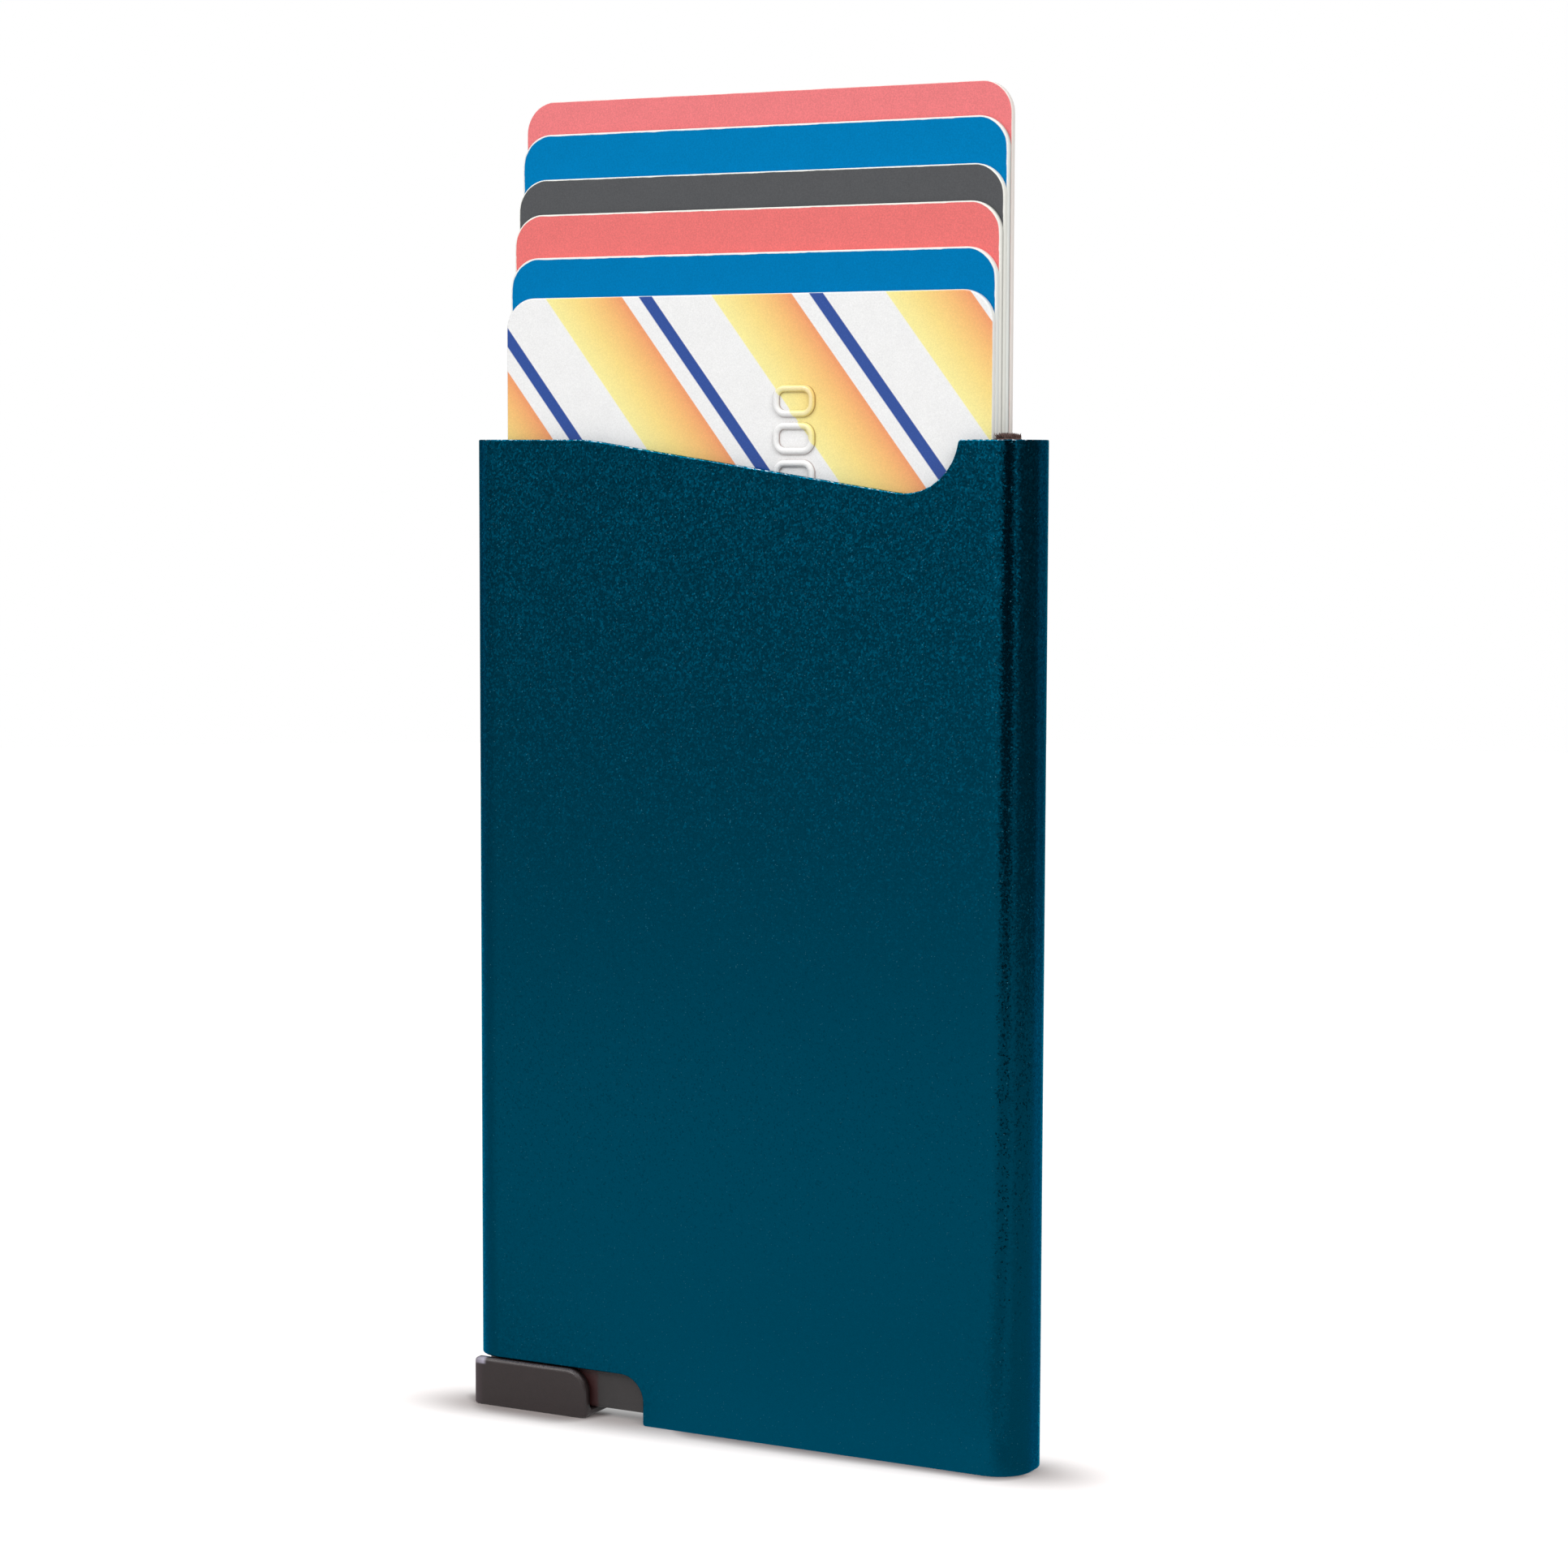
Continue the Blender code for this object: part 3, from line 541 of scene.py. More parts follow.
def perimeter_point(q, depth):
    """Place on the case's plan outline at the distance q round it, drawn in by depth.

    The outline is a rectangle with round corners, walked from the middle of the
    left end, along the front, round the right end and back. On a straight side
    the normal is fixed; in a corner it turns by (distance into it) / radius.
    """
    r = CASE_CORNER
    side, end = 2.0 * (CASE_HALF_WIDTH - r), 2.0 * (CASE_HALF_THICKNESS - r)
    quarter = math.pi / 2.0 * r
    lengths = np.array([end / 2, quarter, side, quarter, end, quarter, side, quarter, end / 2])
    starts = np.concatenate([[0.0], np.cumsum(lengths)])
    total = starts[-1]
    q = np.mod(q, total)
    part = np.clip(np.searchsorted(starts, q, side="right") - 1, 0, 8)
    along = q - starts[part]
    hx, hy = CASE_HALF_WIDTH - r, CASE_HALF_THICKNESS - r
    centre_x = np.array([-hx, -hx, -hx, hx, hx, hx, hx, -hx, -hx])[part]
    centre_y = np.array([0.0, -hy, -hy, -hy, -hy, hy, hy, hy, hy])[part]
    step_x = np.array([0.0, 0.0, 1.0, 0.0, 0.0, 0.0, -1.0, 0.0, 0.0])[part]
    step_y = np.array([-1.0, 0.0, 0.0, 0.0, 1.0, 0.0, 0.0, 0.0, -1.0])[part]
    base = np.array([180.0, 180.0, 270.0, 270.0, 0.0, 0.0, 90.0, 90.0, 180.0])[part]
    turning = np.array([0.0, 1.0, 0.0, 1.0, 0.0, 1.0, 0.0, 1.0, 0.0])[part]
    angle = np.radians(base) + turning * along / r
    x = centre_x + step_x * along + (r - depth) * np.cos(angle)
    y = centre_y + step_y * along + (r - depth) * np.sin(angle)
    return x, y


def front_q(x):
    """Distance round the outline of the point x on the front face."""
    r = CASE_CORNER
    return (CASE_HALF_THICKNESS - r) + math.pi / 2.0 * r + (x + CASE_HALF_WIDTH - r)


def perimeter_length():
    r = CASE_CORNER
    return 4.0 * (CASE_HALF_WIDTH - r) + 4.0 * (CASE_HALF_THICKNESS - r) + 2.0 * math.pi * r


def bend(centre, radius, start, end, steps):
    angle = np.linspace(start, end, steps)
    return np.stack([centre[0] + radius * np.cos(angle), centre[1] + radius * np.sin(angle)], -1)


def top_path():
    """Upper edge of the case, unrolled: distance round the outline against height."""
    foot = (front_q(THUMB_ARC_X), CASE_HEIGHT - THUMB_DEPTH + THUMB_ARC_RADIUS)
    corner = THUMB_RIM_CORNER
    last = math.asin((corner - (THUMB_DEPTH - THUMB_ARC_RADIUS)) / THUMB_ARC_RADIUS)
    notch = bend(foot, THUMB_ARC_RADIUS, -math.pi / 2.0 - THUMB_SLOPE, -last, 60)
    low_q, low_z = notch[0]
    lead_z = CASE_HEIGHT - THUMB_LEAD_RADIUS * math.cos(THUMB_LEAD_START)
    end_z = lead_z + THUMB_LEAD_RADIUS * math.cos(THUMB_SLOPE)
    end_q = low_q - (end_z - low_z) / math.tan(THUMB_SLOPE)
    lead_q = end_q - THUMB_LEAD_RADIUS * math.sin(THUMB_SLOPE)
    lead = bend(
        (lead_q, lead_z), THUMB_LEAD_RADIUS, math.pi / 2.0 - THUMB_LEAD_START,
        math.pi / 2.0 - THUMB_SLOPE, 60)
    tip = bend((notch[-1, 0] + corner, CASE_HEIGHT - corner), corner, math.pi, math.pi / 2.0, 12)
    return np.concatenate([
        [(0.0, CASE_HEIGHT)], lead, notch, tip, [(perimeter_length(), CASE_HEIGHT)]])


def bottom_path():
    """Lower edge of the case, unrolled, with the opening for the thumb saddle at the left end."""
    total = perimeter_length()
    r, tip = SADDLE_CUT_RADIUS, SADDLE_CUT_TIP
    front = front_q(SADDLE_CUT_END)
    down = bend((front - r, SADDLE_CUT_TOP - r), r, math.pi / 2.0, 0.0, 24)
    toe = bend((front + tip, tip), tip, math.pi, 1.5 * math.pi, 8)
    half = np.concatenate([[(0.0, SADDLE_CUT_TOP)], down, toe])
    mirrored = half[::-1] * np.array([-1.0, 1.0]) + np.array([total, 0.0])
    return np.concatenate([half, mirrored])


def even_path(path, count):
    """The path at equal steps of its own length, count points, with the direction across it."""
    gaps = np.hypot(*np.diff(path, axis=0).T)
    keep = np.concatenate([[True], gaps > 1.0e-9])
    path = path[keep]
    run = np.concatenate([[0.0], np.cumsum(np.hypot(*np.diff(path, axis=0).T))])
    want = np.linspace(0.0, run[-1], count, endpoint=False)
    q, z = np.interp(want, run, path[:, 0]), np.interp(want, run, path[:, 1])
    step = run[-1] / count * 0.5
    before, after = np.mod(want - step, run[-1]), np.mod(want + step, run[-1])
    dq = np.interp(after, run, path[:, 0]) - np.interp(before, run, path[:, 0])
    dz = np.interp(after, run, path[:, 1]) - np.interp(before, run, path[:, 1])
    dq = np.where(dq < 0.0, dq + perimeter_length(), dq)
    size = np.hypot(dq, dz)
    return q, z, dq / size, dz / size


def build_case():
    """The case as one grid wrapped twice: round the plan outline, and up the outside, over the
    upper rim, down the inside and under the lower rim.

    Each column starts at its own point of the lower edge and ends at its own point of the upper
    edge. Between them its place round the outline is the even spacing plus what is left of the
    two edges' shifts, which fade as (1 - s)^3 from each end. The rims are quarter circles
    drawn in along each edge's own normal. The rim attribute is 1 on the outer rounding of the
    upper rim, half on its flat and inner rounding, and 0 elsewhere.
    """
    count = CASE_COLUMNS
    total = perimeter_length()
    rounding = shapes().rim_rounding
    top_q, top_z, top_a, top_b = even_path(top_path(), count)
    low_q, low_z, low_a, low_b = even_path(bottom_path(), count)
    even = np.arange(count) * total / count

    def upper(inset):
        return top_q + inset * top_b, top_z - inset * top_a

    def lower(inset):
        return low_q - inset * low_b, low_z + inset * low_a

    def wall(depth, shares):
        uq, uz = upper(rounding)
        lq, lz = lower(rounding)
        s = shares[:, None]
        q = even + (lq - even) * (1.0 - s) ** 3 + (uq - even) * s ** 3
        z = lz + (uz - lz) * s
        x, y = perimeter_point(q, depth)
        return np.stack([x, y, z], -1)

    def rim(edge, depths, insets):
        rows = []
        for depth, inset in zip(depths, insets):
            q, z = edge(inset)
            x, y = perimeter_point(q, depth)
            rows.append(np.stack([x, y, z], -1))
        return np.array(rows)

    near_edge = np.array([0.0, 0.0004, 0.002, 0.006, 0.015])
    shares = np.concatenate([near_edge, np.linspace(0.035, 0.965, 28), 1.0 - near_edge[::-1]])
    turn = np.linspace(0.0, math.pi / 2.0, 5)[1:]
    insets = rounding * (1.0 - np.sin(turn))
    depths = rounding * (1.0 - np.cos(turn))
    over_depth = np.concatenate([depths, CASE_WALL - depths[::-1]])
    over_inset = np.concatenate([insets, insets[::-1]])
    sections = [
        wall(0.0, shares), rim(upper, over_depth, over_inset),
        wall(CASE_WALL, shares[::-1]), rim(lower, over_depth[::-1], over_inset)]
    grid = np.concatenate(sections)
    rows = len(grid)
    obj = mesh_object(
        "shell_skin", grid.reshape(-1, 3), [quads(rows, count, True, True)], case_material())
    milled = np.zeros((rows, count))
    outer = len(shares) + len(turn) - 1
    milled[len(shares) + 1:outer] = 1.0
    milled[outer:len(shares) + len(over_depth) - 1] = 0.5
    set_attribute(obj, "rim", milled)
    return obj


def case_material():
    """Bead-blasted, anodised aluminium, with bare metal specks along the upper rim.

    Towards the top each grain's random lightness varies more, as painted reflection over its own
    tone, and more grains carry painted glints. Each grain is tilted a little its own way.
    """
    tint = tuple(colours().case)
    bare = tuple(colours().bare_metal)
    material, tree, shader, place = new_material("anodised_aluminium_skin", 0.3, 1.0)
    grain = use_group(
        tree, grain_group(), place, Grains_per_Metre=6600.0, Mottle_Depth=0.06, Point_Cut=0.96)
    tone = mix_colour(tree, 1.0, tint, grain.outputs["Shade"], "MULTIPLY", "blasted mottle")
    z = split_xyz(tree, place)["Z"]
    # Painted reflection: each grain's random lightness spreads wider towards the top
    upper = scaled(tree, between(tree, z, 0.022, 0.092, label="more painted reflection towards the top"), 0.05, 0.95)
    light = maths(tree, "MULTIPLY_ADD", grain.outputs["Lightness"], upper, 1.0)
    tone = mix_colour(tree, 1.0, tone, light, "MULTIPLY", "grains' lightness and painted reflection")
    # Painted glints: sparse grains turn pale blue, more of them towards the top
    painted_glints = maths(tree, "MULTIPLY", grain.outputs["Points"], scaled(tree, upper, 0.2, 0.7))
    tone = mix_colour(tree, painted_glints, tone, (0.12, 0.40, 0.52), label="painted_glints")
    broken = noise(tree, place, 0.35 * MM, 4.0, 0.75, "worn rim")
    rim = between(tree, attribute(tree, "rim"), 0.3, 0.9)
    shown = maths(tree, "MULTIPLY", between(tree, broken, 0.50, 0.58), rim)
    feed(tree, shader.inputs["Base Color"], mix_colour(tree, shown, tone, bare, label="bare metal"))
    feed(tree, shader.inputs["Roughness"], scaled(tree, grain.outputs["Height"], 0.17, 0.25))
    shader.inputs["Specular Tint"].default_value = (0.0, 0.70, 1.0, 1.0)
    surface = add_node(tree, "ShaderNodeNewGeometry").outputs["Normal"]
    tilt = vector_maths(
        tree, "MULTIPLY_ADD", grain.outputs["Tilt"], (0.105,) * 3, "tilted grains", surface)
    feed(tree, shader.inputs["Normal"], vector_maths(tree, "NORMALIZE", tilt))
    return material


# Cards


def card_surface(node, across=9, steps=14, middle=6):
    """A card as a plate over its CAD node's box, on a grid of level rows."""
    low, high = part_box(node)
    centre_z = (low.z + high.z) / 2.0
    half_width, half_height = (high.x - low.x) / 2.0, (high.z - low.z) / 2.0
    flat = rounded_face(half_width, half_height, CARD_CORNER, steps, middle, across)

    def face(inset, depth):
        u, v = flat(inset)
        return np.stack([u, np.full_like(u, low.y + depth), v + centre_z], -1)

    return edged_plate(face, high.y - low.y, shapes().card_edge)


def card_place(tree, place, node):
    """Object coordinates from the middle of a card, with the card's inner half size."""
    low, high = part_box(node)
    middle = (low + high) / 2.0
    centred = add_node(tree, "ShaderNodeMapping", "from the card's middle")
    feed(tree, centred.inputs["Vector"], place)
    centred.inputs["Location"].default_value = tuple(-middle)
    inner = ((high.x - low.x) / 2.0 - CARD_CORNER, 0.0, (high.z - low.z) / 2.0 - CARD_CORNER)
    return centred.outputs["Vector"], inner


def card_material(name, node, ink):
    """Printed plastic card: ink on both faces, and the white core along its edges, with painted
    shade on the back of the core where the card lies against the one behind it.
    """
    back_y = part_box(node)[1].y
    index = CARDS.index(node)
    core = tuple(np.array(colours().core) * CORE_TINTS[index])
    material, tree, shader, place = new_material(name, 0.36)
    centred, inner = card_place(tree, place, node)
    outline = use_group(tree, card_edge_group(), centred, Inner_Half_Size=inner, Line=PRINT_LINES[index])
    mottle = scaled(tree, outline.outputs["Mottle"], 0.70, 1.30)
    printed = mix_colour(tree, 1.0, ink, mottle, "MULTIPLY", "ink mottle")
    y = split_xyz(tree, place)["Y"]
    # Painted shade: the back of the core's edge greys where it meets the card behind, most on the second and
    # fourth cards
    back = between(tree, y, back_y - 0.42 * MM, back_y - 0.32 * MM, label="back of the core")
    back = maths(tree, "MULTIPLY", back, 0.58 if node in ("card_2", "card_4") else 0.08)
    core = mix_colour(tree, back, core, (0.30, 0.29, 0.27), label="painted shade between cards")
    feed(tree, shader.inputs["Base Color"], mix_colour(
        tree, outline.outputs["Edge"], printed, core, label="white core"))
    feed(tree, shader.inputs["Roughness"], scaled(tree, outline.outputs["Mottle"], 0.28, 0.44))
    bump(tree, shader, outline.outputs["Height"], 0.006 * MM, 0.35)
    shader.inputs["Specular IOR Level"].default_value = 0.02
    return material


def print_colour(tree, centred, half_height):
    """The front card's made-up print: even stripes that lean over, on white.

    In millimetres from the middle of the card's top edge, a is across and h is up. The
    distance across the stripes is a cos t + h sin t, where t is their lean. Its fraction of one
    repeat picks the ink: a broad stripe that warms from yellow to red, and a narrow blue one.
    """
    drop = vector_maths(
        tree, "MULTIPLY_ADD", centred, (1000.0,) * 3, "in millimetres", (0.0, 0.0, -1000.0 * half_height))
    parts = split_xyz(tree, drop)
    along = maths(tree, "MULTIPLY", parts["X"], math.cos(STRIPE_LEAN) / STRIPE_REPEAT)
    turned = maths(tree, "MULTIPLY_ADD", parts["Z"], math.sin(STRIPE_LEAN) / STRIPE_REPEAT, along)
    share = maths(tree, "FRACT", maths(tree, "ADD", turned, STRIPE_START), label="share of a repeat")
    return ramp(tree, share, STRIPE_INKS, "striped print")


def printed_card_material(name, node):
    """The front card's glossy print over a white core."""
    low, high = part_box(node)
    material, tree, shader, place = new_material(name, 0.26)
    centred, inner = card_place(tree, place, node)
    outline = use_group(tree, card_edge_group(), centred, Inner_Half_Size=inner, Line=PRINTED_CARD_LINE)
    design = print_colour(tree, centred, (high.z - low.z) / 2.0)
    mottle = scaled(tree, outline.outputs["Mottle"], 0.82, 1.18)
    printed = mix_colour(tree, 1.0, design, mottle, "MULTIPLY", "ink mottle")
    feed(tree, shader.inputs["Base Color"], mix_colour(
        tree, outline.outputs["Edge"], printed, tuple(colours().core), label="white core"))
    feed(tree, shader.inputs["Roughness"], scaled(tree, outline.outputs["Mottle"], 0.20, 0.32))
    bump(tree, shader, outline.outputs["Height"], 0.004 * MM, 0.3)
    shader.inputs["Specular IOR Level"].default_value = 0.1
    shader.inputs["Coat Weight"].default_value = 0.7
    shader.inputs["Coat Roughness"].default_value = 0.08
    return material


def ridge(half_long, half_short, radius, centre_x, centre_z, surface_y, height, half_width):
    """A raised bead along a rounded rectangle, on the card's face.

    The path is the rounded rectangle. Across it the bead is a rounded arch,
    width cos t and height (sin t)^0.8, closed by a floor just under the card's face.
    The fourth number of each point is its share of the height.
    """
    steps = 12
    corners = []
    for turn, sx, sz in ((0, 1, -1), (1, 1, 1), (2, -1, 1), (3, -1, -1)):
        angle = np.linspace(-math.pi / 2.0, 0.0, steps) + turn * math.pi / 2.0
        corners.append(np.stack([
            sx * (half_long - radius) + radius * np.cos(angle),
            sz * (half_short - radius) + radius * np.sin(angle), np.cos(angle), np.sin(angle)], -1))
    path = np.concatenate(corners)
    t = np.linspace(0.0, math.pi, 11)
    side = np.concatenate([half_width * np.cos(t), [-half_width, half_width]])
    rise = np.concatenate([height * np.sin(t) ** 0.8, [-FIGURE_SUNK, -FIGURE_SUNK]])
    x = centre_x + path[:, 0, None] + path[:, 2, None] * side[None, :]
    z = centre_z + path[:, 1, None] + path[:, 3, None] * side[None, :]
    y = np.broadcast_to(surface_y - rise[None, :], x.shape)
    share = np.broadcast_to(np.maximum(rise / height, 0.0)[None, :], x.shape)
    return np.stack([x, y, z, share], -1)


def figure_material():
    """The front card's print on the raised figures, with a painted highlight on their tops and
    painted shade at their feet.
    """
    material = printed_card_material("raised_figures_skin", "card_6")
    tree = material.node_tree
    shader = tree.nodes["Principled BSDF"]
    rise = attribute(tree, "rise")
    print_tone = fed_by(shader.inputs["Base Color"])
    # Painted shade: the print darkens towards each figure's foot
    foot = mix_colour(tree, 1.0, print_tone, (0.48, 0.40, 0.38), "MULTIPLY", "painted shade at a figure's foot")
    tone = mix_colour(tree, between(tree, rise, 0.25, 0.65), foot, print_tone, label="painted shade fading up from the foot")
    # Painted highlight: the print pales on each figure's top
    top = maths(tree, "MULTIPLY", between(tree, rise, 0.80, 0.97), 0.22)
    tone = mix_colour(tree, top, tone, (0.95, 0.94, 0.92), label="painted highlight on the top")
    feed(tree, shader.inputs["Base Color"], tone)
    shader.inputs["Coat Weight"].default_value = 1.0
    shader.inputs["Coat Roughness"].default_value = 0.04
    return material


def build_figures(material):
    """Raised noughts, turned on their side, up the front card."""
    low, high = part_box("card_6")
    points, faces, start = [], [], 0
    for row in range(FIGURE_COUNT):
        centre_z = high.z - FIGURE_DROP - FIGURE_PITCH * row
        grid = ridge(
            FIGURE_HALF_LENGTH, FIGURE_HALF_HEIGHT, FIGURE_CORNER, FIGURE_X, centre_z, low.y,
            shapes().figure_height, FIGURE_HALF_BEAD)
        rows, columns = grid.shape[:2]
        points.append(grid.reshape(-1, 4))
        faces.append(quads(rows, columns, True, True) + start)
        start += rows * columns
    points = np.concatenate(points)
    figures = mesh_object("raised_figures", points[:, :3], faces, material)
    set_attribute(figures, "rise", points[:, 3])
    return figures


# Felt


def felt_material(name):
    """Matted wool: dark brown, with lighter fibres and a rough nap."""
    tint = np.array(colours().felt)
    material, tree, shader, place = new_material(name, 0.95)
    fibre = noise(tree, place, 0.10 * MM, 4.0, 0.7, "fibres")
    clump = noise(tree, place, 0.8 * MM, 2.0, 0.5, "clumps")
    mixed = maths(tree, "MULTIPLY_ADD", clump, 0.35, maths(tree, "MULTIPLY", fibre, 0.65))
    colour = ramp(tree, mixed, [
        (0.30, tuple(tint * 0.5)), (0.50, tuple(tint)), (0.68, (0.32, 0.185, 0.145))])
    feed(tree, shader.inputs["Base Color"], colour)
    shader.inputs["Specular IOR Level"].default_value = 0.2
    shader.inputs["Sheen Weight"].default_value = 0.25
    bump(tree, shader, mixed, 0.10 * MM, 0.9)
    return material


def build_felt(name, node, material, seed):
    """A matted strip over its CAD node's box, and fibres standing on its upper end.

    The strip is an upright plate whose broad faces are dented by a seeded noise of up to
    FELT_DENT. Each fibre is a three-sided spike: a foot triangle, a middle and a tip,
    leaning by a random amount.
    """
    rng = np.random.default_rng(seed)
    low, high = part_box(node)
    pile = shapes().pile_length
    end = high.z
    top = end - pile * 0.42
    centre_y, centre_z = (low.y + high.y) / 2.0, (low.z + top) / 2.0
    steps, middle_rows, columns = 3, 180, 15
    rows = middle_rows + 2 * (steps + 1)
    flat = rounded_face(
        (high.y - low.y) / 2.0, (top - low.z) / 2.0, FELT_CORNER, steps, middle_rows, columns)
    dents = np.zeros((2, rows, columns))
    dents[:, 1:-1, 1:-1] = rng.uniform(0.0, FELT_DENT, (2, rows - 2, columns - 2))
    thickness = high.x - low.x

    def face(inset, depth):
        u, v = flat(inset)
        dent = {0.0: dents[0], thickness: -dents[1]}.get(depth, 0.0)
        return np.stack([low.x + depth + dent + 0.0 * u, u + centre_y, v + centre_z], -1)

    points, faces = edged_plate(face, thickness, FELT_EDGE)
    count = shapes().pile_count
    foot = np.stack([
        rng.uniform(low.x + 0.12 * MM, high.x - 0.12 * MM, count),
        rng.uniform(low.y + 0.05 * MM, high.y - 0.05 * MM, count),
        np.full(count, top - 0.06 * MM)], -1)
    lean = rng.normal(0.0, 0.32, (count, 2)) * pile
    rise = pile * rng.uniform(0.2, 1.1, count)
    tip = foot + np.stack([lean[:, 0], lean[:, 1], rise], -1)
    tip[:, 0] = np.clip(tip[:, 0], low.x, high.x)
    tip[:, 1] = np.clip(tip[:, 1], low.y - FIBRE_REACH, high.y + FIBRE_REACH)
    tip[:, 2] = np.minimum(tip[:, 2], end + FIBRE_REACH)
    middle = foot + (tip - foot) * 0.55 + np.stack([lean[:, 1], lean[:, 0], np.zeros(count)], -1) * 0.2
    spin = rng.uniform(0.0, math.tau, count)[:, None] + np.array([0.0, math.tau / 3.0, 2.0 * math.tau / 3.0])
    ring = np.stack([np.cos(spin), np.sin(spin), np.zeros_like(spin)], -1) * FIBRE_RADIUS
    spikes = np.concatenate([
        foot[:, None, :] + ring, middle[:, None, :] + ring * 0.8, tip[:, None, :]], axis=1)
    base = len(points) + 7 * np.arange(count)[:, None]
    walls, ends = [], []
    for k in range(3):
        n = (k + 1) % 3
        walls.append(base + np.array([k, n, 3 + n, 3 + k]))
        ends.append(base + np.array([3 + k, 3 + n, 6]))
    ends.append(base + np.array([2, 1, 0]))
    points = np.concatenate([points, spikes.reshape(-1, 3)])
    return mesh_object(name, points, faces + walls + ends, material)


# Thumb saddle


def build_saddle(material):
    """The saddle as one bent plate: an outer and an inner U, joined by the depth between them.

    Rows run along the U from one cheek's top to the other's. On a row the plate goes from
    the left end to the right end, which stands back by R - sqrt(R^2 - t^2) in the corner
    under the cheek's top. A point at a depth is that share of the way from the outer to
    the inner U. On the rounded edges the rim attribute rises from 0 to 1 towards the cheek's
    top, and the gap attribute is the share of the way to the inner U.
    """
    low, high = SADDLE_LOW, SADDLE_HIGH
    rounding = shapes().saddle_edge
    big, small = SADDLE_CORNER, SADDLE_LEFT_CORNER
    outer_bend, fillet = SADDLE_BOTTOM_BEND, SADDLE_INNER_FILLET
    web = 6
    turn = np.linspace(math.pi / 2.0, 0.0, 26)
    bend_turn = np.linspace(0.0, math.pi / 2.0, 8)
    straight = np.linspace(high.z - big, SADDLE_WEB_TOP + fillet, 8)[1:-1]
    thickness = high.y - SADDLE_INNER_Y

    def rows(inset):
        z = high.z - big + (big - inset) * np.sin(turn)
        right = high.x - big + (big - inset) * np.cos(turn)
        over = np.clip(z - (high.z - small), 0.0, small - inset)
        left = low.x + small - np.sqrt(np.maximum((small - inset) ** 2 - over ** 2, 0.0))
        plain = len(straight) + len(bend_turn)
        right = np.concatenate([right, np.full(plain, high.x - inset)])
        left = np.concatenate([left, np.full(plain, low.x + inset)])
        cheek_z = np.concatenate([z, straight])
        outer = np.stack([np.full(len(cheek_z), high.y), cheek_z], -1)
        inner = np.stack([np.full(len(cheek_z), SADDLE_INNER_Y), cheek_z], -1)
        outer_arc = np.stack([
            high.y - outer_bend + outer_bend * np.cos(bend_turn),
            low.z + outer_bend - outer_bend * np.sin(bend_turn)], -1)
        inner_arc = np.stack([
            SADDLE_INNER_Y - fillet + fillet * np.cos(bend_turn),
            SADDLE_WEB_TOP + fillet - fillet * np.sin(bend_turn)], -1)
        outer = np.concatenate([outer, outer_arc])
        inner = np.concatenate([inner, inner_arc])
        flip = np.array([-1.0, 1.0])
        middle = np.linspace(1.0, -1.0, web + 2)[1:-1, None]
        outer_web = np.concatenate([outer[-1:, :1] * middle, np.full((web, 1), outer[-1, 1])], 1)
        inner_web = np.concatenate([inner[-1:, :1] * middle, np.full((web, 1), inner[-1, 1])], 1)
        outer = np.concatenate([outer, outer_web, outer[::-1] * flip])
        inner = np.concatenate([inner, inner_web, inner[::-1] * flip])
        left = np.concatenate([left, np.full(web, low.x + inset), left[::-1]])
        right = np.concatenate([right, np.full(web, high.x - inset), right[::-1]])
        return outer, inner, left, right

    share = np.concatenate([[0.0], np.linspace(0.004, 0.996, 22), [1.0]])

    def face(inset, depth):
        outer, inner, left, right = rows(inset)
        part = depth / thickness
        yz = outer + (inner - outer) * part
        x = left[:, None] + (right - left)[:, None] * share[None, :]
        y = np.broadcast_to(yz[:, :1], x.shape)
        z = np.broadcast_to(yz[:, 1:], x.shape)
        return np.stack([x, y, z], -1)

    points, faces = edged_plate(face, thickness, rounding, 4)
    saddle = mesh_object("thumb_saddle_skin", points, faces, material)
    flat = 2 * face(0.0, 0.0).shape[0] * len(share)
    height = np.clip((points[:, 2] - 3.4 * MM) / (1.0 * MM), 0.0, 1.0)
    height[:flat] = 0.0
    depth = (high.y - np.abs(points[:, 1])) / thickness * (points[:, 2] > SADDLE_WEB_TOP)
    depth[:flat] = 0.0
    set_attribute(saddle, "rim", height)
    set_attribute(saddle, "gap", depth)
    return saddle


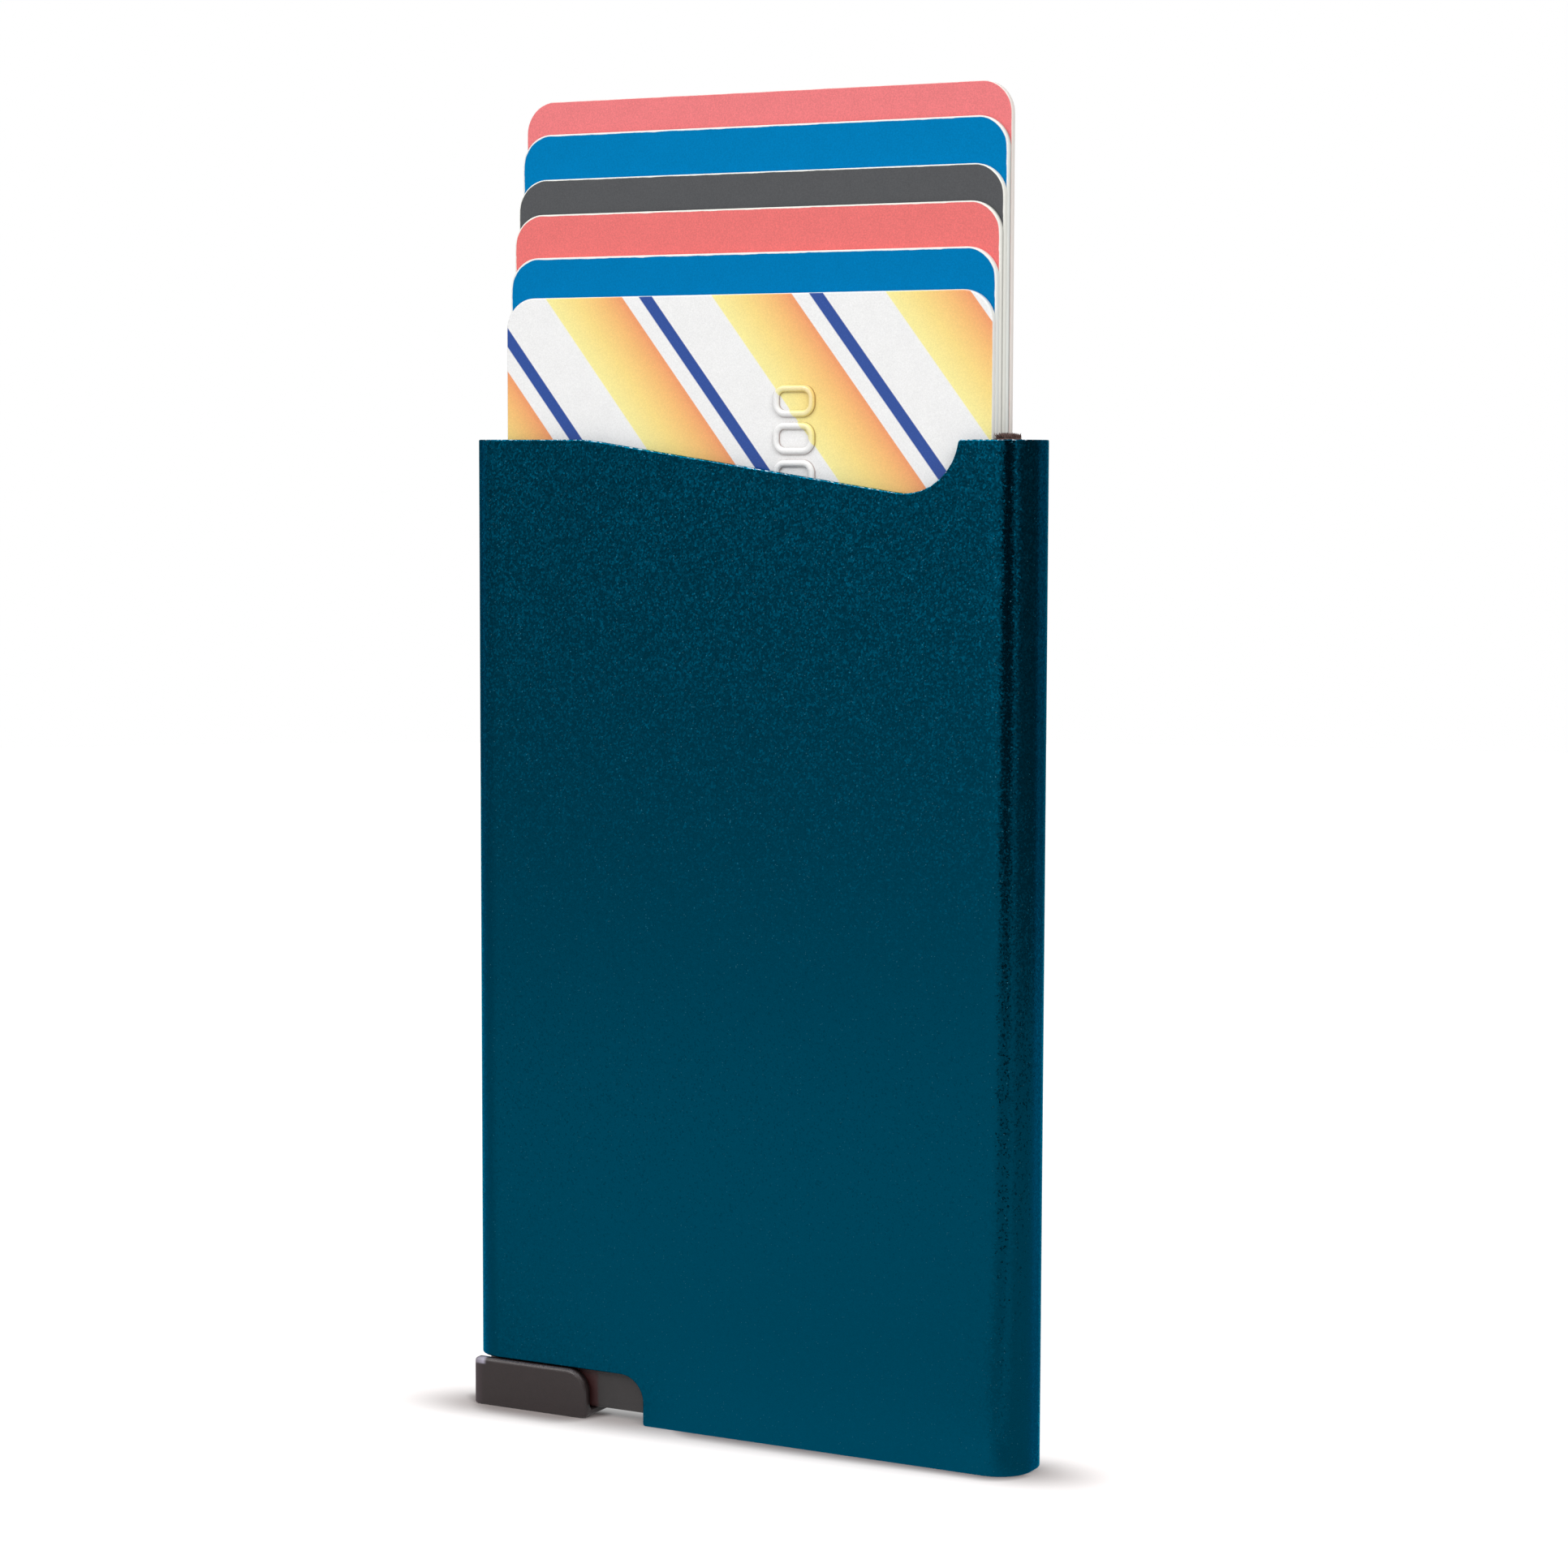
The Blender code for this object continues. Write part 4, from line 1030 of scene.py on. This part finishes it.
def saddle_material():
    """Moulded plastic, with a painted sheen of lighter specks along its upper edge, a pale painted
    highlight at the front top left corner, painted light on its slightly paler left end, and
    painted shade on the inner half of its edges."""
    material = moulded_material("saddle_plastic_skin", tuple(colours().saddle), 0.38, 4200.0, 0.12, 0.016)
    tree = material.node_tree
    shader = tree.nodes["Principled BSDF"]
    place = add_node(tree, "ShaderNodeTexCoord").outputs["Object"]
    gap = attribute(tree, "gap")
    # Painted sheen: lighter specks along the upper edge, fading down from the cheek's top
    speck = between(tree, noise(tree, place, 0.15 * MM, 2.0, 0.7, "specks of painted sheen"), 0.42, 0.64)
    line = maths(tree, "MULTIPLY", between(tree, gap, 0.03, 0.12), between(tree, gap, 0.40, 0.22))
    upper_line = maths(tree, "MULTIPLY", attribute(tree, "rim"), line)
    painted_sheen = maths(tree, "MULTIPLY", upper_line, scaled(tree, speck, 0.25, 1.0))
    tone = fed_by(shader.inputs["Base Color"])
    tone = mix_colour(tree, painted_sheen, tone, (0.10, 0.085, 0.085), label="painted sheen on the upper edge")
    parts = split_xyz(tree, place)
    # Painted highlight: a pale patch on the front top left corner
    along = between(tree, parts["X"], SADDLE_LOW.x + 1.55 * MM, SADDLE_LOW.x + 1.05 * MM)
    upper = between(tree, parts["Z"], SADDLE_HIGH.z - 0.72 * MM, SADDLE_HIGH.z - 0.48 * MM)
    front = between(tree, parts["Y"], -3.0 * MM, -3.6 * MM)
    corner = maths(tree, "MULTIPLY", maths(tree, "MULTIPLY", along, upper), front)
    corner = maths(tree, "MULTIPLY", corner, 0.9)
    tone = mix_colour(tree, corner, tone, (0.44, 0.41, 0.50), label="painted highlight on the corner")
    # Painted light: the left end is a little paler
    end = between(tree, parts["X"], SADDLE_LOW.x + 1.3 * MM, SADDLE_LOW.x + 0.2 * MM, label="left end")
    end = maths(tree, "MULTIPLY", end, 0.5)
    tone = mix_colour(tree, end, tone, (0.075, 0.052, 0.060), label="painted light on the left end")
    # Painted shade: the inner half of the rounded edges turns nearly black
    tone = mix_colour(tree, between(tree, gap, 0.40, 0.62), tone, (0.004, 0.003, 0.003), label="painted shade on the inner edges")
    feed(tree, shader.inputs["Base Color"], tone)
    return material


# Moulded and turned pieces


def moulded_material(name, tint, roughness, grains=3200.0, depth=0.10, height=0.012):
    """Moulded plastic: a fine spark-eroded grain and a faint mottle."""
    material, tree, shader, place = new_material(name, roughness)
    grain = use_group(
        tree, grain_group(), place, Grains_per_Metre=grains, Mottle_Depth=depth, Point_Cut=0.97)
    tone = mix_colour(tree, 1.0, tint, grain.outputs["Shade"], "MULTIPLY", "moulding mottle")
    feed(tree, shader.inputs["Base Color"], tone)
    feed(tree, shader.inputs["Roughness"], scaled(
        tree, grain.outputs["Height"], roughness - 0.08, roughness + 0.08))
    bump(tree, shader, grain.outputs["Height"], height * MM, 0.5)
    shader.inputs["Specular IOR Level"].default_value = 0.45
    return material


def turned_steel_material(name, node):
    """Ground steel pin: fine rings about its axis, which lies along Y."""
    low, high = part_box(node)
    middle = (low + high) / 2.0
    material, tree, shader, place = new_material(name, 0.3, 1.0)
    centred = add_node(tree, "ShaderNodeMapping", "from the pin's middle")
    feed(tree, centred.inputs["Vector"], place)
    centred.inputs["Location"].default_value = tuple(-middle)
    along = split_xyz(tree, centred.outputs[0])["Y"]
    lines = maths(tree, "SINE", maths(tree, "MULTIPLY", along, 42000.0))
    cloud = noise(tree, centred.outputs[0], 0.5 * MM, 3.0, 0.6)
    tone = scaled(tree, cloud, 0.42, 0.66)
    shade = add_node(tree, "ShaderNodeCombineColor")
    for socket in shade.inputs[:3]:
        feed(tree, socket, tone)
    feed(tree, shader.inputs["Base Color"], shade.outputs[0])
    feed(tree, shader.inputs["Roughness"], scaled(tree, cloud, 0.22, 0.42))
    bump(tree, shader, maths(tree, "ADD", lines, cloud), 0.004 * MM, 0.4)
    return material


def insert_material():
    """Moulded plastic with a darker, reddish brown band up to just past the saddle's right end."""
    material = moulded_material("insert_plastic_skin", tuple(colours().insert), 0.50, 3000.0, 0.16)
    tree = material.node_tree
    shader = tree.nodes["Principled BSDF"]
    place = add_node(tree, "ShaderNodeTexCoord").outputs["Object"]
    ragged = noise(tree, place, 0.5 * MM, 3.0, 0.6, "ragged band edge")
    across = maths(tree, "MULTIPLY_ADD", ragged, 0.5 * MM, split_xyz(tree, place)["X"])
    reddish_band = between(tree, across, SADDLE_HIGH.x + 1.15 * MM, SADDLE_HIGH.x + 0.75 * MM)
    tone = mix_colour(
        tree, reddish_band, fed_by(shader.inputs["Base Color"]), (0.034, 0.009, 0.009), label="reddish band")
    feed(tree, shader.inputs["Base Color"], tone)
    return material


def dress(node, material):
    """Give a carried-over CAD node its finish."""
    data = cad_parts[node].data
    data.materials.clear()
    data.materials.append(material)


# Stage


# Angles in radians, the lens and the sensor in millimetres
CAMERA_AZIMUTH = 0.48836
CAMERA_PITCH = 0.08871
CAMERA_ROLL = 0.00281
CAMERA_PLACE = (0.17125, -0.31587, 0.09738)
CAMERA_LENS = 83.37
CAMERA_SENSOR = 36.0

LAMP_TARGET = (0.0, 0.0, 0.06)
# Name, place, width and height, watts, and whether reflections see it
LAMPS = (
    ("softbox_left", (-1.2, -1.7, 1.8), (1.4, 1.4), 17.0, True),
    ("softbox_right", (1.6, -1.3, 1.4), (1.4, 1.4), 24.0, False),
    ("strip_above", (-0.4, -1.3, 1.0), (0.5, 0.2), 3.6, True),
    ("softbox_behind", (-0.5, 2.0, 0.45), (1.4, 1.4), 16.0, False))

# Name, azimuths from and to in degrees from the front, distance, heights from and to, and shade
FLAGS = (
    ("flag_by_the_camera", (19.2, 54.0), 0.36, (0.0, 0.6), 0.045),
    ("flag_at_the_right", (65.0, 140.0), 0.36, (0.0, 0.6), 0.22),
    ("flag_behind_right", (140.0, 212.0), 0.37, (0.0, 0.6), 0.40),
    ("flag_at_the_left", (-158.0, -97.0), 0.5, (0.02, 0.5), 0.25))

# Floor: the emission that makes it white to the camera, its white near and far, and its white in the shade
FLOOR_GLOW = 0.81
FLOOR_NEAR = (0.585, 0.575, 0.565)
FLOOR_FAR = (0.475, 0.465, 0.455)
FLOOR_SHADED = (0.40, 0.357, 0.348)
FLOOR_BELOW = 0.02 * MM


def build_camera():
    """A long lens right of the front, looking slightly down."""
    az, pitch = CAMERA_AZIMUTH, CAMERA_PITCH
    back = np.array([math.sin(az) * math.cos(pitch), -math.cos(az) * math.cos(pitch), math.sin(pitch)])
    right = np.array([math.cos(az), math.sin(az), 0.0])
    up = np.cross(back, right)
    c, s = math.cos(CAMERA_ROLL), math.sin(CAMERA_ROLL)
    turned = Matrix([c * right + s * up, -s * right + c * up, back]).transposed().to_4x4()
    data = bpy.data.cameras.new("camera")
    data.lens = CAMERA_LENS
    data.sensor_width = CAMERA_SENSOR
    data.clip_start = 0.02
    data.clip_end = 60.0
    camera = add_object("camera", data)
    camera.matrix_world = Matrix.Translation(CAMERA_PLACE) @ turned
    bpy.context.scene.camera = camera


def add_lamp(name, place, size, watts, seen_in_gloss):
    """A softbox that faces the object."""
    data = bpy.data.lights.new(name, "AREA")
    data.shape = "RECTANGLE"
    data.size, data.size_y = size
    data.energy = watts
    lamp = add_object(name, data)
    lamp.visible_glossy = seen_in_gloss
    lamp.location = place
    lamp.rotation_euler = (Vector(LAMP_TARGET) - Vector(place)).to_track_quat("-Z", "Y").to_euler()


def foot_shadow(tree, parts, ends, half_depth, full, open_at):
    """How much of the floor's emission is kept back round a foot: 1 beside it, 0 in the open.

    The foot is a rectangle with round ends of radius r, so the distance to it is that to its
    inner rectangle, less r. The shadow falls from 1 to 0 between two such distances, which
    shrink by a third towards the right. Behind the foot there is none.
    """
    r = CASE_CORNER
    middle, half = (ends[0] + ends[1]) / 2.0, (ends[1] - ends[0]) / 2.0
    off = add_node(tree, "ShaderNodeCombineXYZ")
    for axis, centre, reach in (("X", middle, half), ("Y", 0.0, half_depth)):
        away = maths(tree, "ABSOLUTE", maths(tree, "SUBTRACT", parts[axis], centre))
        feed(tree, off.inputs[axis], maths(tree, "MAXIMUM", maths(tree, "SUBTRACT", away, reach - r), 0.0))
    distance = maths(tree, "SUBTRACT", vector_maths(tree, "LENGTH", off.outputs[0]), r)
    shrink = scaled(tree, between(tree, parts["X"], 5.0 * MM, 30.0 * MM), 1.0, 1.5)
    near = between(tree, maths(tree, "MULTIPLY", distance, shrink), open_at, full)
    return maths(tree, "MULTIPLY", near, between(tree, parts["Y"], 1.5 * MM, -2.5 * MM))


def end_shadow(tree, parts):
    """The soft shadow past both ends of the case: 12 mm long, and 15 mm deep about a line that
    lies a little more to the front on the left."""
    out_right = maths(tree, "SUBTRACT", parts["X"], CASE_HALF_WIDTH)
    out_left = maths(tree, "SUBTRACT", SADDLE_LOW.x, parts["X"])
    along = maths(tree, "MAXIMUM", maths(tree, "MAXIMUM", out_right, out_left), 0.0)
    line = maths(tree, "MULTIPLY_ADD", parts["X"], 0.0486, -2.55 * MM)
    across = maths(tree, "ABSOLUTE", maths(tree, "SUBTRACT", parts["Y"], line))
    share = maths(
        tree, "MULTIPLY", between(tree, along, 12.0 * MM, -3.0 * MM), between(tree, across, 7.6 * MM, 0.0))
    return maths(tree, "MULTIPLY", share, 0.94)


def gloss_glow(tree, place, parts, away):
    """The floor's brightness to reflections. It falls with the distance away, changes with the
    bearing from the object, where 0.5 is straight to the front, and is even by the foot."""
    bearing = maths(tree, "ARCTAN2", parts["X"], maths(tree, "MULTIPLY", parts["Y"], -1.0))
    share = maths(tree, "MULTIPLY_ADD", bearing, 1.0 / math.tau, 0.5)
    lit = ramp(tree, share, [
        (0.32, (0.3,) * 3), (0.38, (1.0,) * 3), (0.55, (1.0,) * 3), (0.60, (0.3,) * 3),
        (0.645, (0.3,) * 3), (0.672, (0.8,) * 3), (0.70, (0.2,) * 3)], "floor light by direction")
    far = scaled(tree, between(tree, away, 0.12, 0.7), 0.41, 0.0)
    foot_way = vector_maths(tree, "LENGTH", vector_maths(tree, "MULTIPLY", place, (0.3, 1.0, 0.0)))
    near = maths(
        tree, "MULTIPLY_ADD", between(tree, foot_way, 0.045, 0.010), 0.16, far, label="brightest by the foot")
    along = maths(
        tree, "MULTIPLY", between(tree, parts["X"], -0.025, -0.008),
        between(tree, parts["X"], 0.036, 0.026), label="along the front")
    even = maths(tree, "MULTIPLY", between(tree, foot_way, 0.045, 0.020), along, label="even by the foot")
    return maths(tree, "MULTIPLY", near, maths(tree, "MAXIMUM", lit, even))


def floor_material():
    """A pale sheet. It is white to the camera by its own emission, which the drawn shadow holds
    back round the foot. Only reflections see the glow that changes with direction."""
    material = bpy.data.materials.new("white_sweep")
    material.use_nodes = True
    tree = material.node_tree
    shader = tree.nodes["Principled BSDF"]
    shader.inputs["Roughness"].default_value = 0.9
    shader.inputs["Specular IOR Level"].default_value = 0.0
    shader.inputs["Emission Color"].default_value = (1.0, 1.0, 1.0, 1.0)
    path = add_node(tree, "ShaderNodeLightPath").outputs
    place = add_node(tree, "ShaderNodeTexCoord").outputs["Object"]
    parts = split_xyz(tree, place)
    case_shadow = foot_shadow(
        tree, parts, (SADDLE_CUT_END + 3.0 * MM, CASE_HALF_WIDTH), CASE_HALF_THICKNESS, 0.0, 4.2 * MM)
    saddle_shadow = foot_shadow(tree, parts, (SADDLE_LOW.x, SADDLE_HIGH.x), SADDLE_HIGH.y, 0.4 * MM, 5.4 * MM)
    foot = maths(tree, "MAXIMUM", case_shadow, saddle_shadow)
    shadow = maths(tree, "SMOOTH_MAX", foot, end_shadow(tree, parts), 0.08, label="shadow")
    open_floor = scaled(tree, shadow, FLOOR_GLOW, 0.0)
    away = vector_maths(tree, "LENGTH", place)
    white = mix_colour(
        tree, between(tree, away, 0.25, 0.60), FLOOR_NEAR, FLOOR_FAR, label="white, farther out")
    tone = mix_colour(tree, path["Is Camera Ray"], white, FLOOR_SHADED, label="shaded white")
    feed(tree, shader.inputs["Base Color"], tone)
    seen = maths(tree, "MAXIMUM", path["Is Camera Ray"], path["Is Transmission Ray"])
    glossy = maths(tree, "MULTIPLY", path["Is Glossy Ray"], gloss_glow(tree, place, parts, away))
    feed(tree, shader.inputs["Emission Strength"], maths(tree, "MULTIPLY_ADD", seen, open_floor, glossy))
    return material


def build_floor():
    """A wide disc just under the object: rings of points round a filled middle."""
    angle = np.linspace(0.0, math.tau, 64, endpoint=False)
    radius = np.array([0.2, 0.4, 0.6, 0.9])
    rings = np.stack([
        radius[:, None] * np.cos(angle), radius[:, None] * np.sin(angle),
        np.zeros((len(radius), len(angle)))], -1).reshape(-1, 3)
    faces = quads(len(radius), len(angle), False, True)
    mesh = bpy.data.meshes.new("floor")
    mesh.from_pydata(rings.tolist(), [], faces[:, ::-1].tolist() + [list(range(len(angle)))])
    mesh.materials.append(floor_material())
    floor = add_object("floor", mesh)
    floor.location.z = -FLOOR_BELOW


def build_flag(name, azimuths, distance, heights, shade):
    """A dark upright studio flag, curved about the object, that only reflections see."""
    rows, columns = 4, 24
    level, angle = np.meshgrid(
        np.linspace(*heights, rows), np.radians(np.linspace(*azimuths, columns)), indexing="ij")
    grid = np.stack([distance * np.sin(angle), -distance * np.cos(angle), level], -1).reshape(-1, 3)
    mesh = bpy.data.meshes.new(name)
    mesh.from_pydata(grid.tolist(), [], quads(rows, columns).tolist())
    material = bpy.data.materials.new(name)
    material.use_nodes = True
    shader = material.node_tree.nodes["Principled BSDF"]
    shader.inputs["Base Color"].default_value = (shade, shade, shade, 1.0)
    shader.inputs["Roughness"].default_value = 1.0
    mesh.materials.append(material)
    flag = add_object(name, mesh)
    flag.visible_camera = False
    flag.visible_diffuse = False
    flag.visible_shadow = False


def build_world():
    """Even light from all round, with a white background behind everything. Reflections see a
    level that rises above the horizon, upwards, to the right of the front and to the back."""
    world = bpy.data.worlds.new("studio")
    bpy.context.scene.world = world
    world.use_nodes = True
    tree = world.node_tree
    background = tree.nodes["Background"]
    path = add_node(tree, "ShaderNodeLightPath").outputs
    way = split_xyz(tree, add_node(tree, "ShaderNodeTexCoord").outputs["Generated"])
    level = scaled(tree, between(tree, way["Z"], -0.06, 0.0), 0.40, 0.56)
    side = between(tree, way["X"], -0.56, -0.38, label="front, turning right")
    front = maths(tree, "MULTIPLY_ADD", side, 0.25, level)
    behind = maths(tree, "MAXIMUM", front, between(tree, way["Y"], -0.6, 0.4))
    above = scaled(tree, between(tree, way["Z"], 0.10, 0.42), 0.0, 0.75)
    room = maths(tree, "ADD", behind, above)
    seen = maths(tree, "MAXIMUM", path["Is Camera Ray"], path["Is Transmission Ray"])
    glossy = maths(tree, "MULTIPLY", path["Is Glossy Ray"], room)
    shown = maths(tree, "MAXIMUM", seen, glossy)
    plain = maths(tree, "SUBTRACT", 1.0, maths(tree, "MAXIMUM", seen, path["Is Glossy Ray"]))
    feed(tree, background.inputs["Strength"], maths(tree, "MULTIPLY_ADD", plain, 0.50, shown))
    background.inputs["Color"].default_value = (1.0, 1.0, 1.0, 1.0)


# Operators


class CARDHOLDER_OT_case(Operator):
    """Build the anodised case with its thumb cut-out and rounded rims"""
    bl_idname = "card_holder.case"
    bl_label = "Case"

    def execute(self, context):
        case = build_case()
        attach(case, "case")
        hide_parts("shell")
        return {"FINISHED"}


class CARDHOLDER_OT_cards(Operator):
    """Build the five plain cards and the printed front card with its raised figures"""
    bl_idname = "card_holder.cards"
    bl_label = "Cards"

    def execute(self, context):
        tint = colours()
        deep_pink = np.array(tint.pink) * DEEPER_PINK
        deep_blue = np.array(tint.blue) * DEEPER_BLUE
        inks = (tint.pink, tint.blue, tint.grey, deep_pink, deep_blue)
        for index, node in enumerate(CARDS):
            points, faces = card_surface(node)
            if index < len(inks):
                material = card_material(CARD_SLOTS[index] + "_skin", node, tuple(inks[index]))
            else:
                material = printed_card_material(CARD_SLOTS[index] + "_skin", node)
            card = mesh_object(node + "_skin", points, faces, material)
            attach(card, CARD_BODIES[index])
            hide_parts(node)
        figures = build_figures(figure_material())
        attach(figures, CARD_BODIES[-1])
        return {"FINISHED"}


class CARDHOLDER_OT_felts(Operator):
    """Build the two felt strips with their fibres"""
    bl_idname = "card_holder.felts"
    bl_label = "Felt strips"

    def execute(self, context):
        for seed, side in enumerate(("left", "right")):
            material = felt_material(side + "_felt_pile_skin")
            felt = build_felt(side + "_felt_skin", side + "_felt", material, FELT_SEED + seed)
            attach(felt, "case")
            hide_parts(side + "_felt")
        return {"FINISHED"}


class CARDHOLDER_OT_saddle(Operator):
    """Build the thumb saddle that slides along the bottom edge"""
    bl_idname = "card_holder.saddle"
    bl_label = "Thumb saddle"

    def execute(self, context):
        saddle = build_saddle(saddle_material())
        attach(saddle, "slider")
        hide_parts("thumb_saddle")
        return {"FINISHED"}


class CARDHOLDER_OT_inner_parts(Operator):
    """Finish the insert, the guide rails, the pushing arm, the slide bar and the pins"""
    bl_idname = "card_holder.inner_parts"
    bl_label = "Inner parts"

    def execute(self, context):
        dark = tuple(colours().saddle)
        dress("base_insert", insert_material())
        dress("slide_bar", moulded_material("slider_plastic_skin", dark, 0.42, 3800.0))
        dress("ejector_arm", moulded_material("arm_plastic_skin", (0.055, 0.056, 0.062), 0.40, 3000.0, 0.08))
        dress("left_guide_rail", moulded_material("left_rail_plastic_skin", dark, 0.56, 2400.0))
        dress("right_guide_rail", moulded_material("right_rail_plastic_skin", dark, 0.56, 2400.0))
        dress("pivot_pin", turned_steel_material("pin_steel_skin", "pivot_pin"))
        dress("drive_pin", turned_steel_material("drive_pin_steel_skin", "drive_pin"))
        return {"FINISHED"}


class CARDHOLDER_OT_stage(Operator):
    """Set up the floor, the studio light and the camera"""
    bl_idname = "card_holder.stage"
    bl_label = "Stage"

    def execute(self, context):
        build_floor()
        build_world()
        for flag in FLAGS:
            build_flag(*flag)
        for lamp in LAMPS:
            add_lamp(*lamp)
        build_camera()
        context.scene.view_settings.view_transform = "Standard"
        return {"FINISHED"}


class CARDHOLDER_PT_panel(Panel):
    """Lists the card holder's pieces, sizes and colours"""
    bl_idname = "CARDHOLDER_PT_panel"
    bl_label = "Card holder"
    bl_space_type = "VIEW_3D"
    bl_region_type = "UI"
    bl_category = "Card holder"

    def draw(self, context):
        for group in (context.scene.card_holder_shapes, context.scene.card_holder_colours):
            box = self.layout.box()
            for name in group.__annotations__:
                box.prop(group, name)
        for operator in OPERATORS:
            self.layout.operator(operator.bl_idname)


OPERATORS = (
    CARDHOLDER_OT_case, CARDHOLDER_OT_cards, CARDHOLDER_OT_felts, CARDHOLDER_OT_saddle,
    CARDHOLDER_OT_inner_parts, CARDHOLDER_OT_stage)
CLASSES = (CardHolderShapes, CardHolderColours) + OPERATORS + (CARDHOLDER_PT_panel,)


def register():
    for cls in CLASSES:
        bpy.utils.register_class(cls)
    bpy.types.Scene.card_holder_shapes = PointerProperty(type=CardHolderShapes)
    bpy.types.Scene.card_holder_colours = PointerProperty(type=CardHolderColours)


def unregister():
    del bpy.types.Scene.card_holder_colours
    del bpy.types.Scene.card_holder_shapes
    for cls in reversed(CLASSES):
        bpy.utils.unregister_class(cls)


def main():
    register()
    bpy.ops.card_holder.case()
    bpy.ops.card_holder.cards()
    bpy.ops.card_holder.felts()
    bpy.ops.card_holder.saddle()
    bpy.ops.card_holder.inner_parts()
    bpy.ops.card_holder.stage()
    bpy.context.view_layer.update()


if __name__ == "__main__":
    main()
